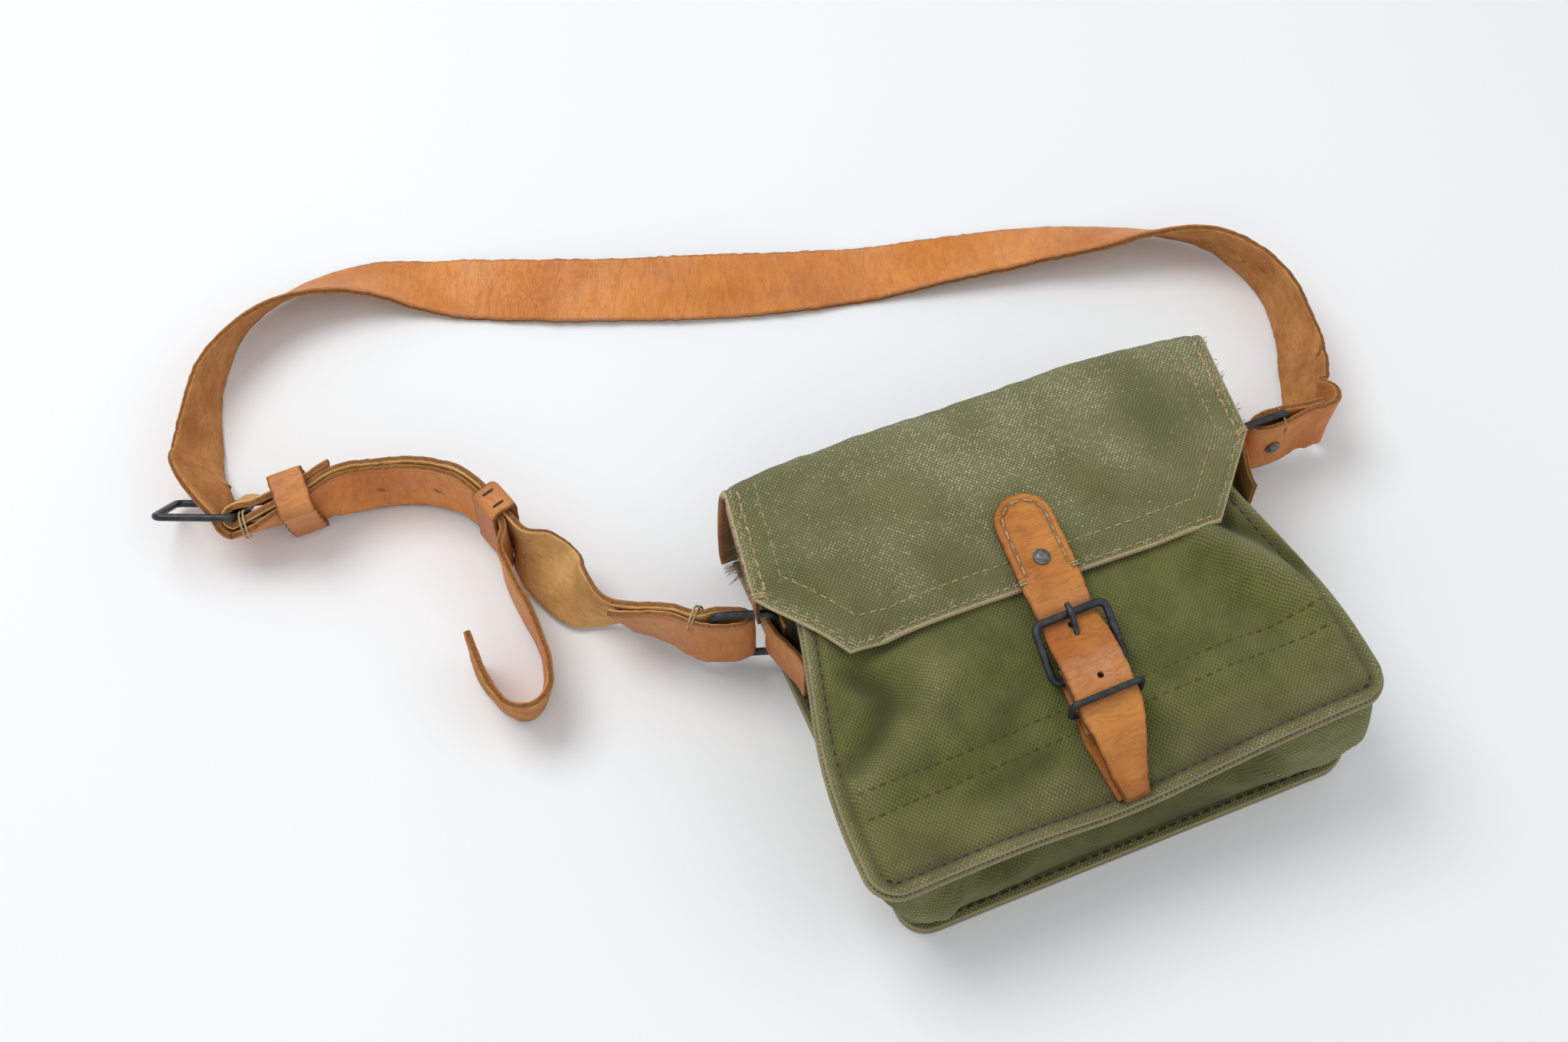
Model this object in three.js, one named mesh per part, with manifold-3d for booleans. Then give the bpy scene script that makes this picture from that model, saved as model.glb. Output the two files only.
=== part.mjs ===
// Canvas haversack with a leather shoulder strap, lying on its back on a table.
// Units are millimetres. The origin is on the table under the middle of the back panel,
// +X to the viewer's right, +Y towards the hinge of the flap and +Z up out of the front.
import * as THREE from 'three';
import { mergeVertices } from 'three/addons/utils/BufferGeometryUtils.js';
import Module from 'manifold-3d';

// Canvas bag
const bagWidth = 213;
const bagHeight = 184;
const bagDepth = 66;
const canvas = 2;
const seamFlange = 6;
const cornerRadius = 12;
const clearance = 0.3;

// Flap
const flapCanvas = 3;
const flapWidth = 218;
const flapReach = 92;
const flapBevel = 38;
const flapBevelRun = 30;

// Leather ears under the straight sides of the flap
const earLeather = 2;
const earWidth = 11;
const earDrop = 20;

// Closure strap, buckle and wire keeper
const closureWidth = 25;
const closureLeather = 3;
const closureLength = 130;
const closureTip = 10;
const chapeLeather = 2.5;
const buckleLength = 23;
const buckleWire = 3.3;
const prongWire = 2.4;
const keeperWire = 2.6;
const rivetDiameter = 7;
const rivetHeight = 1.8;

// Shoulder strap, adjuster strap and their leather keepers
const strapWidth = 30;
const strapLeather = 3;
const strapReach = 300;
const layerGap = 1.2;
const keeperLeather = 2;
const keeperLength = 15;

// Side rings, adjuster ring and the tabs that hold the side rings
const ringWire = 3.3;
const ringLength = 25;
const adjusterLength = 33;
const adjusterLean = 50;
const tabLeather = 2;
const tabWidth = 26;
const tabLength = 26;

// Colours and finishes
const canvasGreen = { color: 0x66703f, roughness: 0.95, metalness: 0 };
const flapGreen = { color: 0x6f7350, roughness: 0.95, metalness: 0 };
const tanLeather = { color: 0xc07a40, roughness: 0.6, metalness: 0 };
const darkLeather = { color: 0x8a5a44, roughness: 0.7, metalness: 0 };
const blackWire = { color: 0x2c2f33, roughness: 0.4, metalness: 0.8 };
const rivetSteel = { color: 0x6c6660, roughness: 0.45, metalness: 0.8 };

const haversack = new THREE.Group();
const wasm = await Module();
wasm.setup();

// Small helpers
const vec = (x, y, z) => new THREE.Vector3(x, y, z);
const up = vec(0, 0, 1);
const down = vec(0, 0, -1);
const radians = (degrees) => degrees * Math.PI / 180;
const mix = (a, b, share) => a + (b - a) * share;

// Turns rows of numbers into records with the named columns.
function table(columns, rows) {
  const names = columns.split(' ');
  return rows.map((row) => Object.fromEntries(names.map((name, i) => [name, row[i]])));
}

// Reads one column of a table at any place along its first column, as a smooth curve.
function read(rows, key, at, column) {
  const last = rows.length - 1;
  let i = rows.findIndex((row) => row[key] >= at);
  if (i < 0) i = last;
  i = Math.max(i, 1);
  const slope = (k) => {
    const a = rows[Math.max(k - 1, 0)];
    const b = rows[Math.min(k + 1, last)];
    return (b[column] - a[column]) / (b[key] - a[key]);
  };
  const span = rows[i][key] - rows[i - 1][key];
  const u = THREE.MathUtils.clamp((at - rows[i - 1][key]) / span, 0, 1);
  const a = rows[i - 1][column];
  const b = rows[i][column];
  const bend = u * (1 - u) * ((slope(i - 1) * span - (b - a)) * (1 - u) - (slope(i) * span - (b - a)) * u);
  return mix(a, b, u) + bend;
}

// Joins rings of points into one closed body; the two ends are capped unless it is a loop.
function loft(rings, loop = false) {
  const size = rings[0].length;
  const index = [];
  const steps = loop ? rings.length : rings.length - 1;
  for (let r = 0; r < steps; r++) {
    const here = r * size;
    const next = ((r + 1) % rings.length) * size;
    for (let i = 0; i < size; i++) {
      const j = (i + 1) % size;
      index.push(here + i, here + j, next + j, here + i, next + j, next + i);
    }
  }
  if (!loop) {
    const end = (rings.length - 1) * size;
    for (let i = 0; i < size / 2 - 1; i++) {
      const j = size - 1 - i;
      index.push(i, j, j - 1, i, j - 1, i + 1);
      index.push(end + i, end + j - 1, end + j, end + i, end + i + 1, end + j - 1);
    }
  }
  const points = rings.flat();
  const geometry = new THREE.BufferGeometry();
  geometry.setAttribute('position', new THREE.Float32BufferAttribute(points.flatMap((p) => p.toArray()), 3));
  geometry.setIndex(volume(points, index) < 0 ? index.reverse() : index);
  return geometry;
}

function volume(points, index) {
  let sum = 0;
  for (let i = 0; i < index.length; i += 3) {
    const [a, b, c] = [points[index[i]], points[index[i + 1]], points[index[i + 2]]];
    sum += a.dot(b.clone().cross(c));
  }
  return sum;
}

// Cuts one closed body out of another.
function toSolid(geometry) {
  const bare = geometry.clone();
  bare.deleteAttribute('normal');
  bare.deleteAttribute('uv');
  const merged = mergeVertices(bare, 1e-4);
  const vertProperties = new Float32Array(merged.attributes.position.array);
  const triVerts = new Uint32Array(merged.index.array);
  return new wasm.Manifold(new wasm.Mesh({ numProp: 3, vertProperties, triVerts }));
}

function cut(geometry, ...tools) {
  const solid = tools.reduce((left, tool) => left.subtract(toSolid(tool)), toSolid(geometry));
  const mesh = solid.getMesh();
  const result = new THREE.BufferGeometry();
  result.setAttribute('position', new THREE.BufferAttribute(new Float32Array(mesh.vertProperties), 3));
  result.setIndex(new THREE.BufferAttribute(new Uint32Array(mesh.triVerts), 1));
  return result;
}

function add(name, geometry, finish) {
  const part = new THREE.Mesh(geometry, new THREE.MeshStandardMaterial(finish));
  part.name = name;
  haversack.add(part);
  return part;
}

// Sheet of cloth or leather: each row of middle points is thickened along the given direction.
function sheet(rows, thickness, direction) {
  const rings = rows.map((row, r) => {
    const half = row.map((p, i) => direction(p, r, i).clone().setLength(thickness / 2));
    const top = row.map((p, i) => p.clone().add(half[i]));
    const bottom = row.map((p, i) => p.clone().sub(half[i]));
    return [...top, ...bottom.reverse()];
  });
  return loft(rings);
}

// Normal of a grid of points at one node, from its neighbours.
function gridNormal(rows, r, i) {
  const across = rows[r][Math.min(i + 1, rows[r].length - 1)].clone().sub(rows[r][Math.max(i - 1, 0)]);
  const along = rows[Math.min(r + 1, rows.length - 1)][i].clone().sub(rows[Math.max(r - 1, 0)][i]);
  return across.cross(along).normalize();
}

// Round wire along a path of points.
function wire(path, diameter, loop = false, sides = 8) {
  const last = path.length - 1;
  let side = null;
  const rings = path.map((p, k) => {
    const before = loop ? path[(k + last) % (last + 1)] : path[Math.max(k - 1, 0)];
    const after = loop ? path[(k + 1) % (last + 1)] : path[Math.min(k + 1, last)];
    const along = after.clone().sub(before).normalize();
    if (!side) side = Math.abs(along.z) < 0.9 ? up.clone() : vec(1, 0, 0);
    side = side.clone().addScaledVector(along, -side.dot(along)).normalize();
    const other = along.clone().cross(side);
    return Array.from({ length: sides }, (_, n) => {
      const angle = n / sides * 2 * Math.PI;
      return p.clone()
        .addScaledVector(side, Math.cos(angle) * diameter / 2)
        .addScaledVector(other, Math.sin(angle) * diameter / 2);
    });
  });
  return loft(rings, loop);
}

// Rounded rectangle of wire with its centre, two directions and two centre-line lengths.
function wireFrame(centre, u, v, alongU, alongV, diameter) {
  const radius = diameter;
  const path = [];
  const corners = [[1, 1, 0], [-1, 1, 90], [-1, -1, 180], [1, -1, 270]];
  for (const [su, sv, start] of corners) {
    for (let k = 0; k <= 3; k++) {
      const angle = radians(start + k * 30);
      const a = su * (alongU / 2 - radius) + Math.cos(angle) * radius;
      const b = sv * (alongV / 2 - radius) + Math.sin(angle) * radius;
      path.push(centre.clone().addScaledVector(u, a).addScaledVector(v, b));
    }
  }
  return wire(path, diameter, true);
}

// Outline of the two panels: middle and half width as shares of the bag's width, by height.
const frontOutline = table('t middle half', [
  [0.00, -0.061, 0.502],
  [0.18, -0.062, 0.502],
  [0.33, -0.061, 0.488],
  [0.50, -0.056, 0.456],
  [0.62, -0.054, 0.432],
  [0.80, -0.040, 0.418],
  [1.00, -0.028, 0.415],
]);
const backOutline = table('t middle half', [
  [0.00, -0.030, 0.462],
  [0.15, -0.010, 0.485],
  [0.40, 0.000, 0.495],
  [1.00, 0.000, 0.497],
]);
const mouth = 0.95;

// Heights of the front panel's corners, its crown and its dents, as shares of the depth.
const cornerHeight = { bottomLeft: 0.90, bottomRight: 1.10, topLeft: 1.05, topRight: 0.93 };
const crown = 0.10;
const dents = table('x y across along turn height', [
  [-0.36, 0.03, 0.07, 0.13, -35, -0.075],
  [-0.41, 0.10, 0.06, 0.12, -40, 0.055],
  [-0.16, -0.40, 0.05, 0.20, 70, -0.045],
  [0.33, -0.13, 0.05, 0.16, -150, 0.060],
  [0.27, -0.19, 0.05, 0.15, -150, -0.050],
  [-0.05, -0.12, 0.16, 0.22, 0, -0.040],
  [-0.02, -0.46, 0.20, 0.12, 0, -0.12],
]);

function frontTop(x, y) {
  const t = y / bagHeight + 0.5;
  const at = THREE.MathUtils.clamp(t, 0, 1);
  const s = (x / bagWidth - read(frontOutline, 't', at, 'middle')) / read(frontOutline, 't', at, 'half');
  const left = mix(cornerHeight.bottomLeft, cornerHeight.topLeft, t);
  const right = mix(cornerHeight.bottomRight, cornerHeight.topRight, t);
  const inside = Math.max(1 - s * s, -0.4) * Math.max(1 - (2 * t - 1) ** 2, 0);
  let height = mix(left, right, (s + 1) / 2) + crown * inside;
  for (const dent of dents) {
    const dx = x / bagWidth - dent.x;
    const dy = y / bagWidth - dent.y;
    const turn = radians(dent.turn);
    const across = (dx * Math.cos(turn) + dy * Math.sin(turn)) / dent.across;
    const along = (dy * Math.cos(turn) - dx * Math.sin(turn)) / dent.along;
    height += dent.height * Math.exp(-across * across - along * along);
  }
  return height * bagDepth;
}

// Distance from the bottom edge of each row, and place across of each column.
const cornerRows = [0, 15, 35, 60, 90].map((angle) => cornerRadius * (1 - Math.cos(radians(angle))));
const sideRows = [0.12, 0.19, 0.27, 0.35, 0.43, 0.51, 0.59, 0.67, 0.75, 0.83, 0.90, mouth];
const rowHeights = [...cornerRows, ...sideRows.map((share) => share * bagHeight)];
const columns = Array.from({ length: 17 }, (_, i) => i / 8 - 1);

// A point of a panel's outline or inside it, with rounded lower corners.
function panelPoint(outline, s, rise) {
  const t = rise / bagHeight;
  const inset = cornerRadius - Math.sqrt(cornerRadius ** 2 - Math.max(cornerRadius - rise, 0) ** 2);
  const half = read(outline, 't', t, 'half') * bagWidth - inset;
  return vec(read(outline, 't', t, 'middle') * bagWidth + s * half, rise - bagHeight / 2, 0);
}

// Front and back panels
const frontRows = rowHeights.map((rise) => columns.map((s) => {
  const p = panelPoint(frontOutline, s, rise);
  return p.setZ(frontTop(p.x, p.y) - canvas / 2);
}));
add('front_panel', sheet(frontRows, canvas, () => up), canvasGreen);

const backRows = [...rowHeights.slice(0, -1), bagHeight].map((rise) => [-1, -0.5, 0, 0.5, 1].map((s) => {
  return panelPoint(backOutline, s, rise).setZ(canvas / 2);
}));
add('back_panel', sheet(backRows, canvas, () => up), canvasGreen);

// Gusset: one strip down the left side, across the bottom and up the right side.
// Its walls bulge outward (+) or sink inward (-) by these shares of the depth.
const gussetFolds = table('along low middle high', [
  [0.00, 0.02, 0.01, 0.00],
  [0.60, 0.03, 0.02, 0.01],
  [0.90, 0.05, 0.06, 0.03],
  [1.05, 0.05, 0.08, 0.04],
  [1.20, 0.00, -0.16, -0.12],
  [1.45, -0.10, -0.38, -0.24],
  [1.70, -0.06, -0.22, -0.16],
  [1.88, 0.06, 0.08, 0.06],
  [2.10, 0.08, 0.12, 0.08],
  [2.50, 0.13, 0.14, 0.07],
  [3.00, 0.11, 0.12, 0.06],
]);
const wallShares = [0, 0.12, 0.27, 0.42, 0.58, 0.73, 0.88, 1];

function edgeStations(outline) {
  const side = [...rowHeights].reverse();
  const left = side.slice(0, -1).map((rise) => panelPoint(outline, -1, rise));
  const bottom = columns.map((s) => panelPoint(outline, s, 0));
  const right = [...side].reverse().slice(1).map((rise) => panelPoint(outline, 1, rise));
  return [...left, ...bottom, ...right];
}

function outwardNormals(stations) {
  return stations.map((p, k) => {
    const before = stations[Math.max(k - 1, 0)];
    const after = stations[Math.min(k + 1, stations.length - 1)];
    return after.clone().sub(before).cross(up).normalize();
  });
}

const backEdge = edgeStations(backOutline);
const frontEdge = edgeStations(frontOutline);
const backOut = outwardNormals(backEdge);
const frontOut = outwardNormals(frontEdge);
const sideCount = rowHeights.length - 1;

function gussetShare(k) {
  if (k < sideCount) return k / sideCount;
  if (k < sideCount + columns.length) return 1 + (k - sideCount) / (columns.length - 1);
  return 2 + (k - sideCount - columns.length + 1) / sideCount;
}

const flangeZ = canvas + clearance + canvas / 2;
const underFront = (p) => frontTop(p.x, p.y) - canvas - 3 * clearance - canvas / 2;

function gussetRow(k) {
  const fold = (column) => read(gussetFolds, 'along', gussetShare(k), column) * bagDepth;
  const bulges = table('h out', [[0, 0], [0.25, fold('low')], [0.5, fold('middle')], [0.75, fold('high')], [1, 0]]);
  const base = backEdge[k].clone().addScaledVector(backOut[k], -seamFlange).setZ(flangeZ);
  const top = frontEdge[k].clone().addScaledVector(frontOut[k], -seamFlange);
  top.setZ(underFront(top));
  const tip = frontEdge[k].clone();
  tip.setZ(underFront(tip));
  const wall = wallShares.map((h) => {
    const out = backOut[k].clone().lerp(frontOut[k], h).normalize();
    return base.clone().lerp(top, h).addScaledVector(out, read(bulges, 'h', h, 'out'));
  });
  return [backEdge[k].clone().setZ(flangeZ), ...wall, tip];
}

const gussetRows = backEdge.map((_, k) => gussetRow(k));
add('gusset', sheet(gussetRows, canvas, (p, r, i) => gridNormal(gussetRows, r, i)), canvasGreen);

// Flap: up the back of the mouth, over the fold and down the front, with bevelled corners.
const hinge = bagHeight / 2 + clearance;
const flapRise = table('out height', [
  [0, 0.02],
  [0.035, 0.06],
  [0.055, 0.20],
  [0.060, 0.42],
  [0.050, 0.66],
  [0.028, 0.86],
  [-0.005, 0.965],
]);
const flapOutline = table('down middle', [
  [0, -0.005],
  [0.55, -0.036],
  [1, -0.058],
]);
const flapDown = [0.05, 0.14, 0.24, 0.34, 0.44, 1 - flapBevel / flapReach, 0.68, 0.78, 0.89, 1];
const flapSlant = 0.03;
const flapColumns = Array.from({ length: 19 }, (_, i) => i / 9 - 1);
const flapTopY = bagHeight / 2 - 1;
const flapEase = 7;

// The flap is too stiff to follow small dents: it lies on the highest points round each place.
function flapUnder(x, y) {
  const steps = [-flapEase, 0, flapEase];
  return Math.max(...steps.flatMap((dx) => steps.map((dy) => frontTop(x + dx, y + dy)))) + 2 * clearance;
}

function flapFront(s, down) {
  const bevel = Math.max(down * flapReach - (flapReach - flapBevel), 0) / flapBevel;
  const x = read(flapOutline, 'down', down, 'middle') * bagWidth + s * (flapWidth / 2 - bevel * flapBevelRun);
  const y = flapTopY - down * flapReach - flapSlant * down * x;
  return vec(x, y, flapUnder(x, y) + flapCanvas / 2);
}

function flapRiseRow(row) {
  return flapColumns.map((s) => {
    const fold = flapFront(s, flapDown[0]);
    const droop = 0.06 * s ** 6;
    const y = hinge + (row.out - droop * row.height) * bagDepth;
    return vec(fold.x, y, flapCanvas / 2 + row.height * (1 - droop) * (fold.z - flapCanvas / 2));
  });
}

const flapRows = [
  ...flapRise.map(flapRiseRow),
  ...flapDown.map((down) => flapColumns.map((s) => flapFront(s, down))),
];
const flapNormal = (p, r, i) => (r < flapRise.length ? gridNormal(flapRows, r, i) : down);
add('flap', sheet(flapRows, flapCanvas, flapNormal), flapGreen);

// Leather ears: sewn under the sides of the flap and turned down outside the gusset.
function ear(side) {
  const downs = flapDown.slice(1, 6);
  const rows = downs.map((down) => {
    const edge = flapFront(side, down);
    const under = (x) => flapUnder(x, edge.y) - 2 * clearance - earLeather / 2;
    const outer = edge.x - side * earLeather;
    const inner = outer - side * earWidth;
    const corner = under(outer);
    return [
      vec(inner, edge.y, under(inner)),
      vec(mix(inner, outer, 0.5), edge.y, under(mix(inner, outer, 0.5))),
      vec(outer - side * 1.5, edge.y, under(outer - side * 1.5)),
      vec(outer, edge.y, corner - 1.5),
      vec(outer + side * 0.5, edge.y, corner - earDrop / 2),
      vec(outer - side * 1, edge.y, corner - earDrop),
    ];
  });
  return sheet(rows, earLeather, (p, r, i) => gridNormal(rows, r, i));
}
add('flap_ear_left', ear(-1), darkLeather);
add('flap_ear_right', ear(1), darkLeather);

// Closure: heights above the front panel of everything that is stacked on it.
const closureMiddle = -0.038;
const closureSlant = 0.06;
const closureX = (y) => closureMiddle * bagWidth + closureSlant * y;
const heelY = -42;
const barRadius = buckleWire / 2;
const foldRadius = barRadius + 2 * clearance + chapeLeather / 2;
const chapeBottom = clearance + chapeLeather / 2;
const heelLift = chapeBottom + foldRadius;
const topY = heelY + buckleLength;
const loopTop = heelLift + foldRadius + chapeLeather / 2;
const onFlap = 3 * clearance + flapCanvas + 1.2;
const topBarUnder = 5;
const topBarLift = topBarUnder + closureLeather + 3 * clearance + barRadius;
const closureTopY = heelY + 80;
const overLoop = loopTop + 2 * clearance;

const billetLift = table('y under', [
  [heelY - 50, clearance * 2 + chapeLeather + 0.9],
  [heelY - 39, clearance * 2 + chapeLeather + 1.1],
  [heelY - 28, overLoop - 0.3],
  [heelY - 24, overLoop + 0.2],
  [heelY, overLoop],
  [topY, topBarUnder],
  [topY + 9, onFlap + 0.6],
  [topY + 16, onFlap],
  [closureTopY, onFlap],
]);

function billetHalf(y) {
  const half = closureWidth / 2;
  const fromTop = closureTopY - y;
  const fromTip = y - (closureTopY - closureLength);
  if (fromTop < half) return Math.max(Math.sqrt(half ** 2 - (half - fromTop) ** 2), 2.5);
  if (fromTip < 30) return mix(closureTip / 2, half, fromTip / 30);
  return half;
}

function stackRow(y, half, lift, thickness) {
  return [-1, -0.5, 0, 0.5, 1].map((u) => {
    const x = closureX(y) + u * half;
    return vec(x, y, frontTop(x, y) + lift + thickness / 2);
  });
}

const billetDown = [0.2, 2, 5, 9, 12.5, 18, 26, 34, 40, 46, 52, 57, 63, 69, 75, 80, 86, 93, 99, 105, 112, 118, 124, 130];
const billetRows = billetDown.map((down) => {
  const y = closureTopY - down / 130 * closureLength;
  return stackRow(y, billetHalf(y), read(billetLift, 'y', y, 'under'), closureLeather);
});
const billet = sheet(billetRows, closureLeather, () => up);

function slotTool(width, length, y, lift) {
  const x = closureX(y);
  const box = new THREE.BoxGeometry(width, length, closureLeather * 6);
  return box.translate(x, y, frontTop(x, y) + lift);
}

const prongSlot = prongWire + 4 * clearance;
const prongHoleY = topY - 9.5;
const spareHoleY = heelY - 4;
const spareHole = new THREE.CylinderGeometry(2, 2, closureLeather * 2, 10).rotateX(Math.PI / 2);
spareHole.translate(closureX(spareHoleY), spareHoleY, frontTop(closureX(spareHoleY), spareHoleY) + overLoop + 1.5);
const prongHole = slotTool(prongSlot, 14, prongHoleY, topBarUnder + closureLeather / 2);
add('closure_billet', cut(billet, prongHole, spareHole), tanLeather);

// Chape: folded round the heel bar of the buckle, its lower layer sewn to the front panel.
const chapeEnd = heelY - 47;
function chapePath() {
  const path = [];
  for (let k = 0; k <= 7; k++) {
    const freeEnd = Math.max(2 - k, 0) * clearance;
    path.push([mix(chapeEnd, heelY, k / 7), chapeBottom + freeEnd]);
  }
  for (let angle = -60; angle < 90; angle += 30) {
    path.push([heelY + foldRadius * Math.cos(radians(angle)), heelLift + foldRadius * Math.sin(radians(angle))]);
  }
  for (let k = 0; k <= 3; k++) path.push([mix(heelY, heelY - 24, k / 3), heelLift + foldRadius]);
  return path;
}
const chapeLine = chapePath();
const chapeHalf = (k) => (k === 0 ? 0.3 : k === 1 ? 0.42 : 0.5) * (closureWidth - 1);
const chapeRows = chapeLine.map(([y, lift], k) => stackRow(y, chapeHalf(k), lift - 0.5, 1));
const chape = sheet(chapeRows, chapeLeather, (p, r, i) => gridNormal(chapeRows, r, i));
add('closure_chape', cut(chape, slotTool(prongSlot, 12, heelY + 2, heelLift)), darkLeather);

// Buckle frame, prong and wire keeper
function overFront(x, y, lift) {
  return vec(x, y, frontTop(x, y) + lift);
}
const heelMid = overFront(closureX(heelY), heelY, heelLift);
const topMid = overFront(closureX(topY), topY, topBarLift);
const acrossFrame = overFront(closureX(heelY) + 10, heelY, heelLift).sub(heelMid).normalize();
const alongFrame = topMid.clone().sub(heelMid);
const frameWidth = closureWidth + 2 * clearance + buckleWire + 1;
const frameMid = heelMid.clone().add(topMid).multiplyScalar(0.5);
const alongUnit = alongFrame.clone().normalize();
add('buckle_frame', wireFrame(frameMid, acrossFrame, alongUnit, frameWidth, alongFrame.length(), buckleWire), blackWire);

const prongLoop = barRadius + clearance + prongWire / 2;
const prongShaft = table('along rise', [
  [0.20, -0.05],
  [0.42, -0.12],
  [0.58, 0.12],
  [0.74, 0.55],
  [0.90, 0.98],
  [1.02, 1.00],
  [1.12, 0.88],
]);
function prongPath() {
  const place = (y, lift) => overFront(closureX(y), y, lift);
  const path = [];
  for (let angle = 350; angle >= 90; angle -= 26) {
    const turn = radians(angle);
    path.push(place(heelY + prongLoop * Math.cos(turn), heelLift + prongLoop * Math.sin(turn)));
  }
  const start = heelLift + prongLoop;
  const rest = topBarLift + barRadius + clearance + prongWire / 2;
  for (const step of prongShaft) {
    path.push(place(heelY + step.along * buckleLength, mix(start, rest, step.rise)));
  }
  return path;
}
add('buckle_prong', wire(prongPath(), prongWire), blackWire);

const keeperY = heelY - 14;
const keeperTop = overLoop + closureLeather + 3 * clearance + keeperWire / 2;
const keeperLow = heelLift;
const keeperMid = overFront(closureX(keeperY), keeperY, (keeperTop + keeperLow) / 2);
const keeperAcross = closureWidth + 2 * clearance + keeperWire + 1;
add('closure_keeper', wireFrame(keeperMid, acrossFrame, up, keeperAcross, keeperTop - keeperLow, keeperWire), blackWire);

// Domed rivet head standing on +Z.
function rivetHead(radius, height) {
  const profile = [[0, 0], [radius, 0], [radius * 0.94, height * 0.45], [radius * 0.6, height * 0.88], [0, height]];
  return new THREE.LatheGeometry(profile.map(([r, z]) => new THREE.Vector2(r, z)), 16).rotateX(Math.PI / 2);
}
const rivetY = closureTopY - 30;
const closureRivet = add('closure_rivet', rivetHead(rivetDiameter / 2, rivetHeight), rivetSteel);
closureRivet.position.copy(overFront(closureX(rivetY), rivetY, onFlap + closureLeather + clearance));

// Tabs on the gusset and the side rings that they hold
const ringRise = canvas * 2 + 2 * clearance + ringWire;
const ringLift = ringRise + ringWire / 2 + clearance;
const ringTall = strapWidth + 2 * clearance + ringWire;
const ringMidZ = ringRise + ringTall / 2;
const sideRing = {
  left: { side: -1, y: 43, turn: 19 },
  right: { side: 1, y: 49, turn: 0 },
};

// How far out the wall of the gusset comes where a tab lies on it.
function wallReach(ring) {
  const reach = gussetRows.flatMap((row) => row.slice(2, -1))
    .filter((p) => Math.sign(p.x) === ring.side && p.y < ring.y + 12 && p.y > ring.y - tabLength - 12)
    .filter((p) => p.z < ringMidZ + tabWidth / 2 + 6)
    .map((p) => Math.abs(p.x));
  return Math.max(...reach) + canvas / 2;
}

const tabLoop = tabLeather / 2 + clearance + ringWire / 2;
for (const [name, ring] of Object.entries(sideRing)) {
  const inner = wallReach(ring) + clearance + tabLeather / 2;
  const barX = inner + tabLoop;
  ring.out = vec(ring.side * Math.cos(radians(ring.turn)), Math.sin(radians(ring.turn)), 0);
  ring.inner = vec(ring.side * barX, ring.y, ringMidZ);
  ring.bar = ring.inner.clone().addScaledVector(ring.out, ringLength);
  ring.far = vec(0, 1, 0).addScaledVector(ring.out, -ring.out.y).normalize();
  const centre = ring.inner.clone().lerp(ring.bar, 0.5);
  add(`side_ring_${name}`, wireFrame(centre, ring.out, up, ringLength, ringTall, ringWire), blackWire);

  const layout = [[0, -1], [0.1, -0.8], [0.9, -0.5], [1.6, -0.27], [2, 0]];
  const path = layout.map(([out, y]) => vec(ring.side * (inner + out * tabLoop), ring.y + y * tabLength, ringMidZ));
  for (let angle = 30; angle <= 180; angle += 30) {
    const out = barX + tabLoop * Math.cos(radians(angle));
    path.push(vec(ring.side * out, ring.y + tabLoop * Math.sin(radians(angle)), ringMidZ));
  }
  path.push(vec(ring.side * inner, ring.y - tabLength * 0.2, ringMidZ));
  const stations = path.map((point) => ({ point, width: up.clone() }));
  add(`side_tab_${name}`, ribbon(stations, tabWidth, tabLeather, 2), tanLeather);
}

// Strap: stations hold a middle point and the direction of its width.
function ribbon(stations, width, thickness, steps) {
  const path = new THREE.CatmullRomCurve3(stations.map((station) => station.point), false, 'centripetal');
  const widths = new THREE.CatmullRomCurve3(stations.map((station) => station.width));
  const count = (stations.length - 1) * steps;
  const rings = [];
  for (let k = 0; k <= count; k++) {
    const middle = path.getPoint(k / count);
    const before = path.getPoint(Math.max(k - 0.2, 0) / count);
    const along = path.getPoint(Math.min(k + 0.2, count) / count).sub(before).normalize();
    const across = widths.getPoint(k / count);
    across.addScaledVector(along, -across.dot(along)).setLength(width / 2);
    const normal = across.clone().cross(along).setLength(thickness / 2);
    rings.push([[1, 1], [1, -1], [-1, -1], [-1, 1]].map(([w, n]) => {
      return middle.clone().addScaledVector(across, w).addScaledVector(normal, n);
    }));
  }
  return loft(rings);
}

// Places a row of a route. Its x and y are per cent of the strap's reach from the rings: along 0 counts
// from the right ring and along 1 from the left one. It rests its lower edge at lift times the rings' lift.
function place(row) {
  const lean = radians(row.lean);
  const anchor = sideRing.right.bar.clone().lerp(sideRing.left.bar, row.along ?? 1);
  const lowest = Math.abs(Math.sin(lean)) * strapWidth / 2 + Math.abs(Math.cos(lean)) * strapLeather / 2;
  const z = lowest + row.lift * ringLift + 2 * clearance;
  const point = vec(anchor.x + row.x / 100 * strapReach, anchor.y + row.y / 100 * strapReach, z);
  return { point, lean };
}

// Gives the stations that have only a lean their width direction, square to the way along.
function withWidths(stations) {
  return stations.map((station, k) => {
    if (station.width) return station;
    const before = stations[Math.max(k - 1, 0)].point;
    const after = stations[Math.min(k + 1, stations.length - 1)].point;
    const along = after.clone().sub(before).setZ(0).normalize();
    const right = along.cross(up);
    const width = right.multiplyScalar(Math.cos(station.lean)).addScaledVector(up, Math.sin(station.lean));
    return { point: station.point, width };
  });
}

// Moves stations sideways off their face, positive to the left of the way along.
function offset(stations, distance, fan = []) {
  return stations.map(({ point, width }, k) => {
    const before = stations[Math.max(k - 1, 0)].point;
    const after = stations[Math.min(k + 1, stations.length - 1)].point;
    const normal = width.clone().cross(after.clone().sub(before)).normalize();
    const slack = Math.sign(distance) * (fan[k] ?? 0);
    return { point: point.clone().addScaledVector(normal, distance + slack), width };
  });
}

const layerStep = strapLeather + layerGap;

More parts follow.
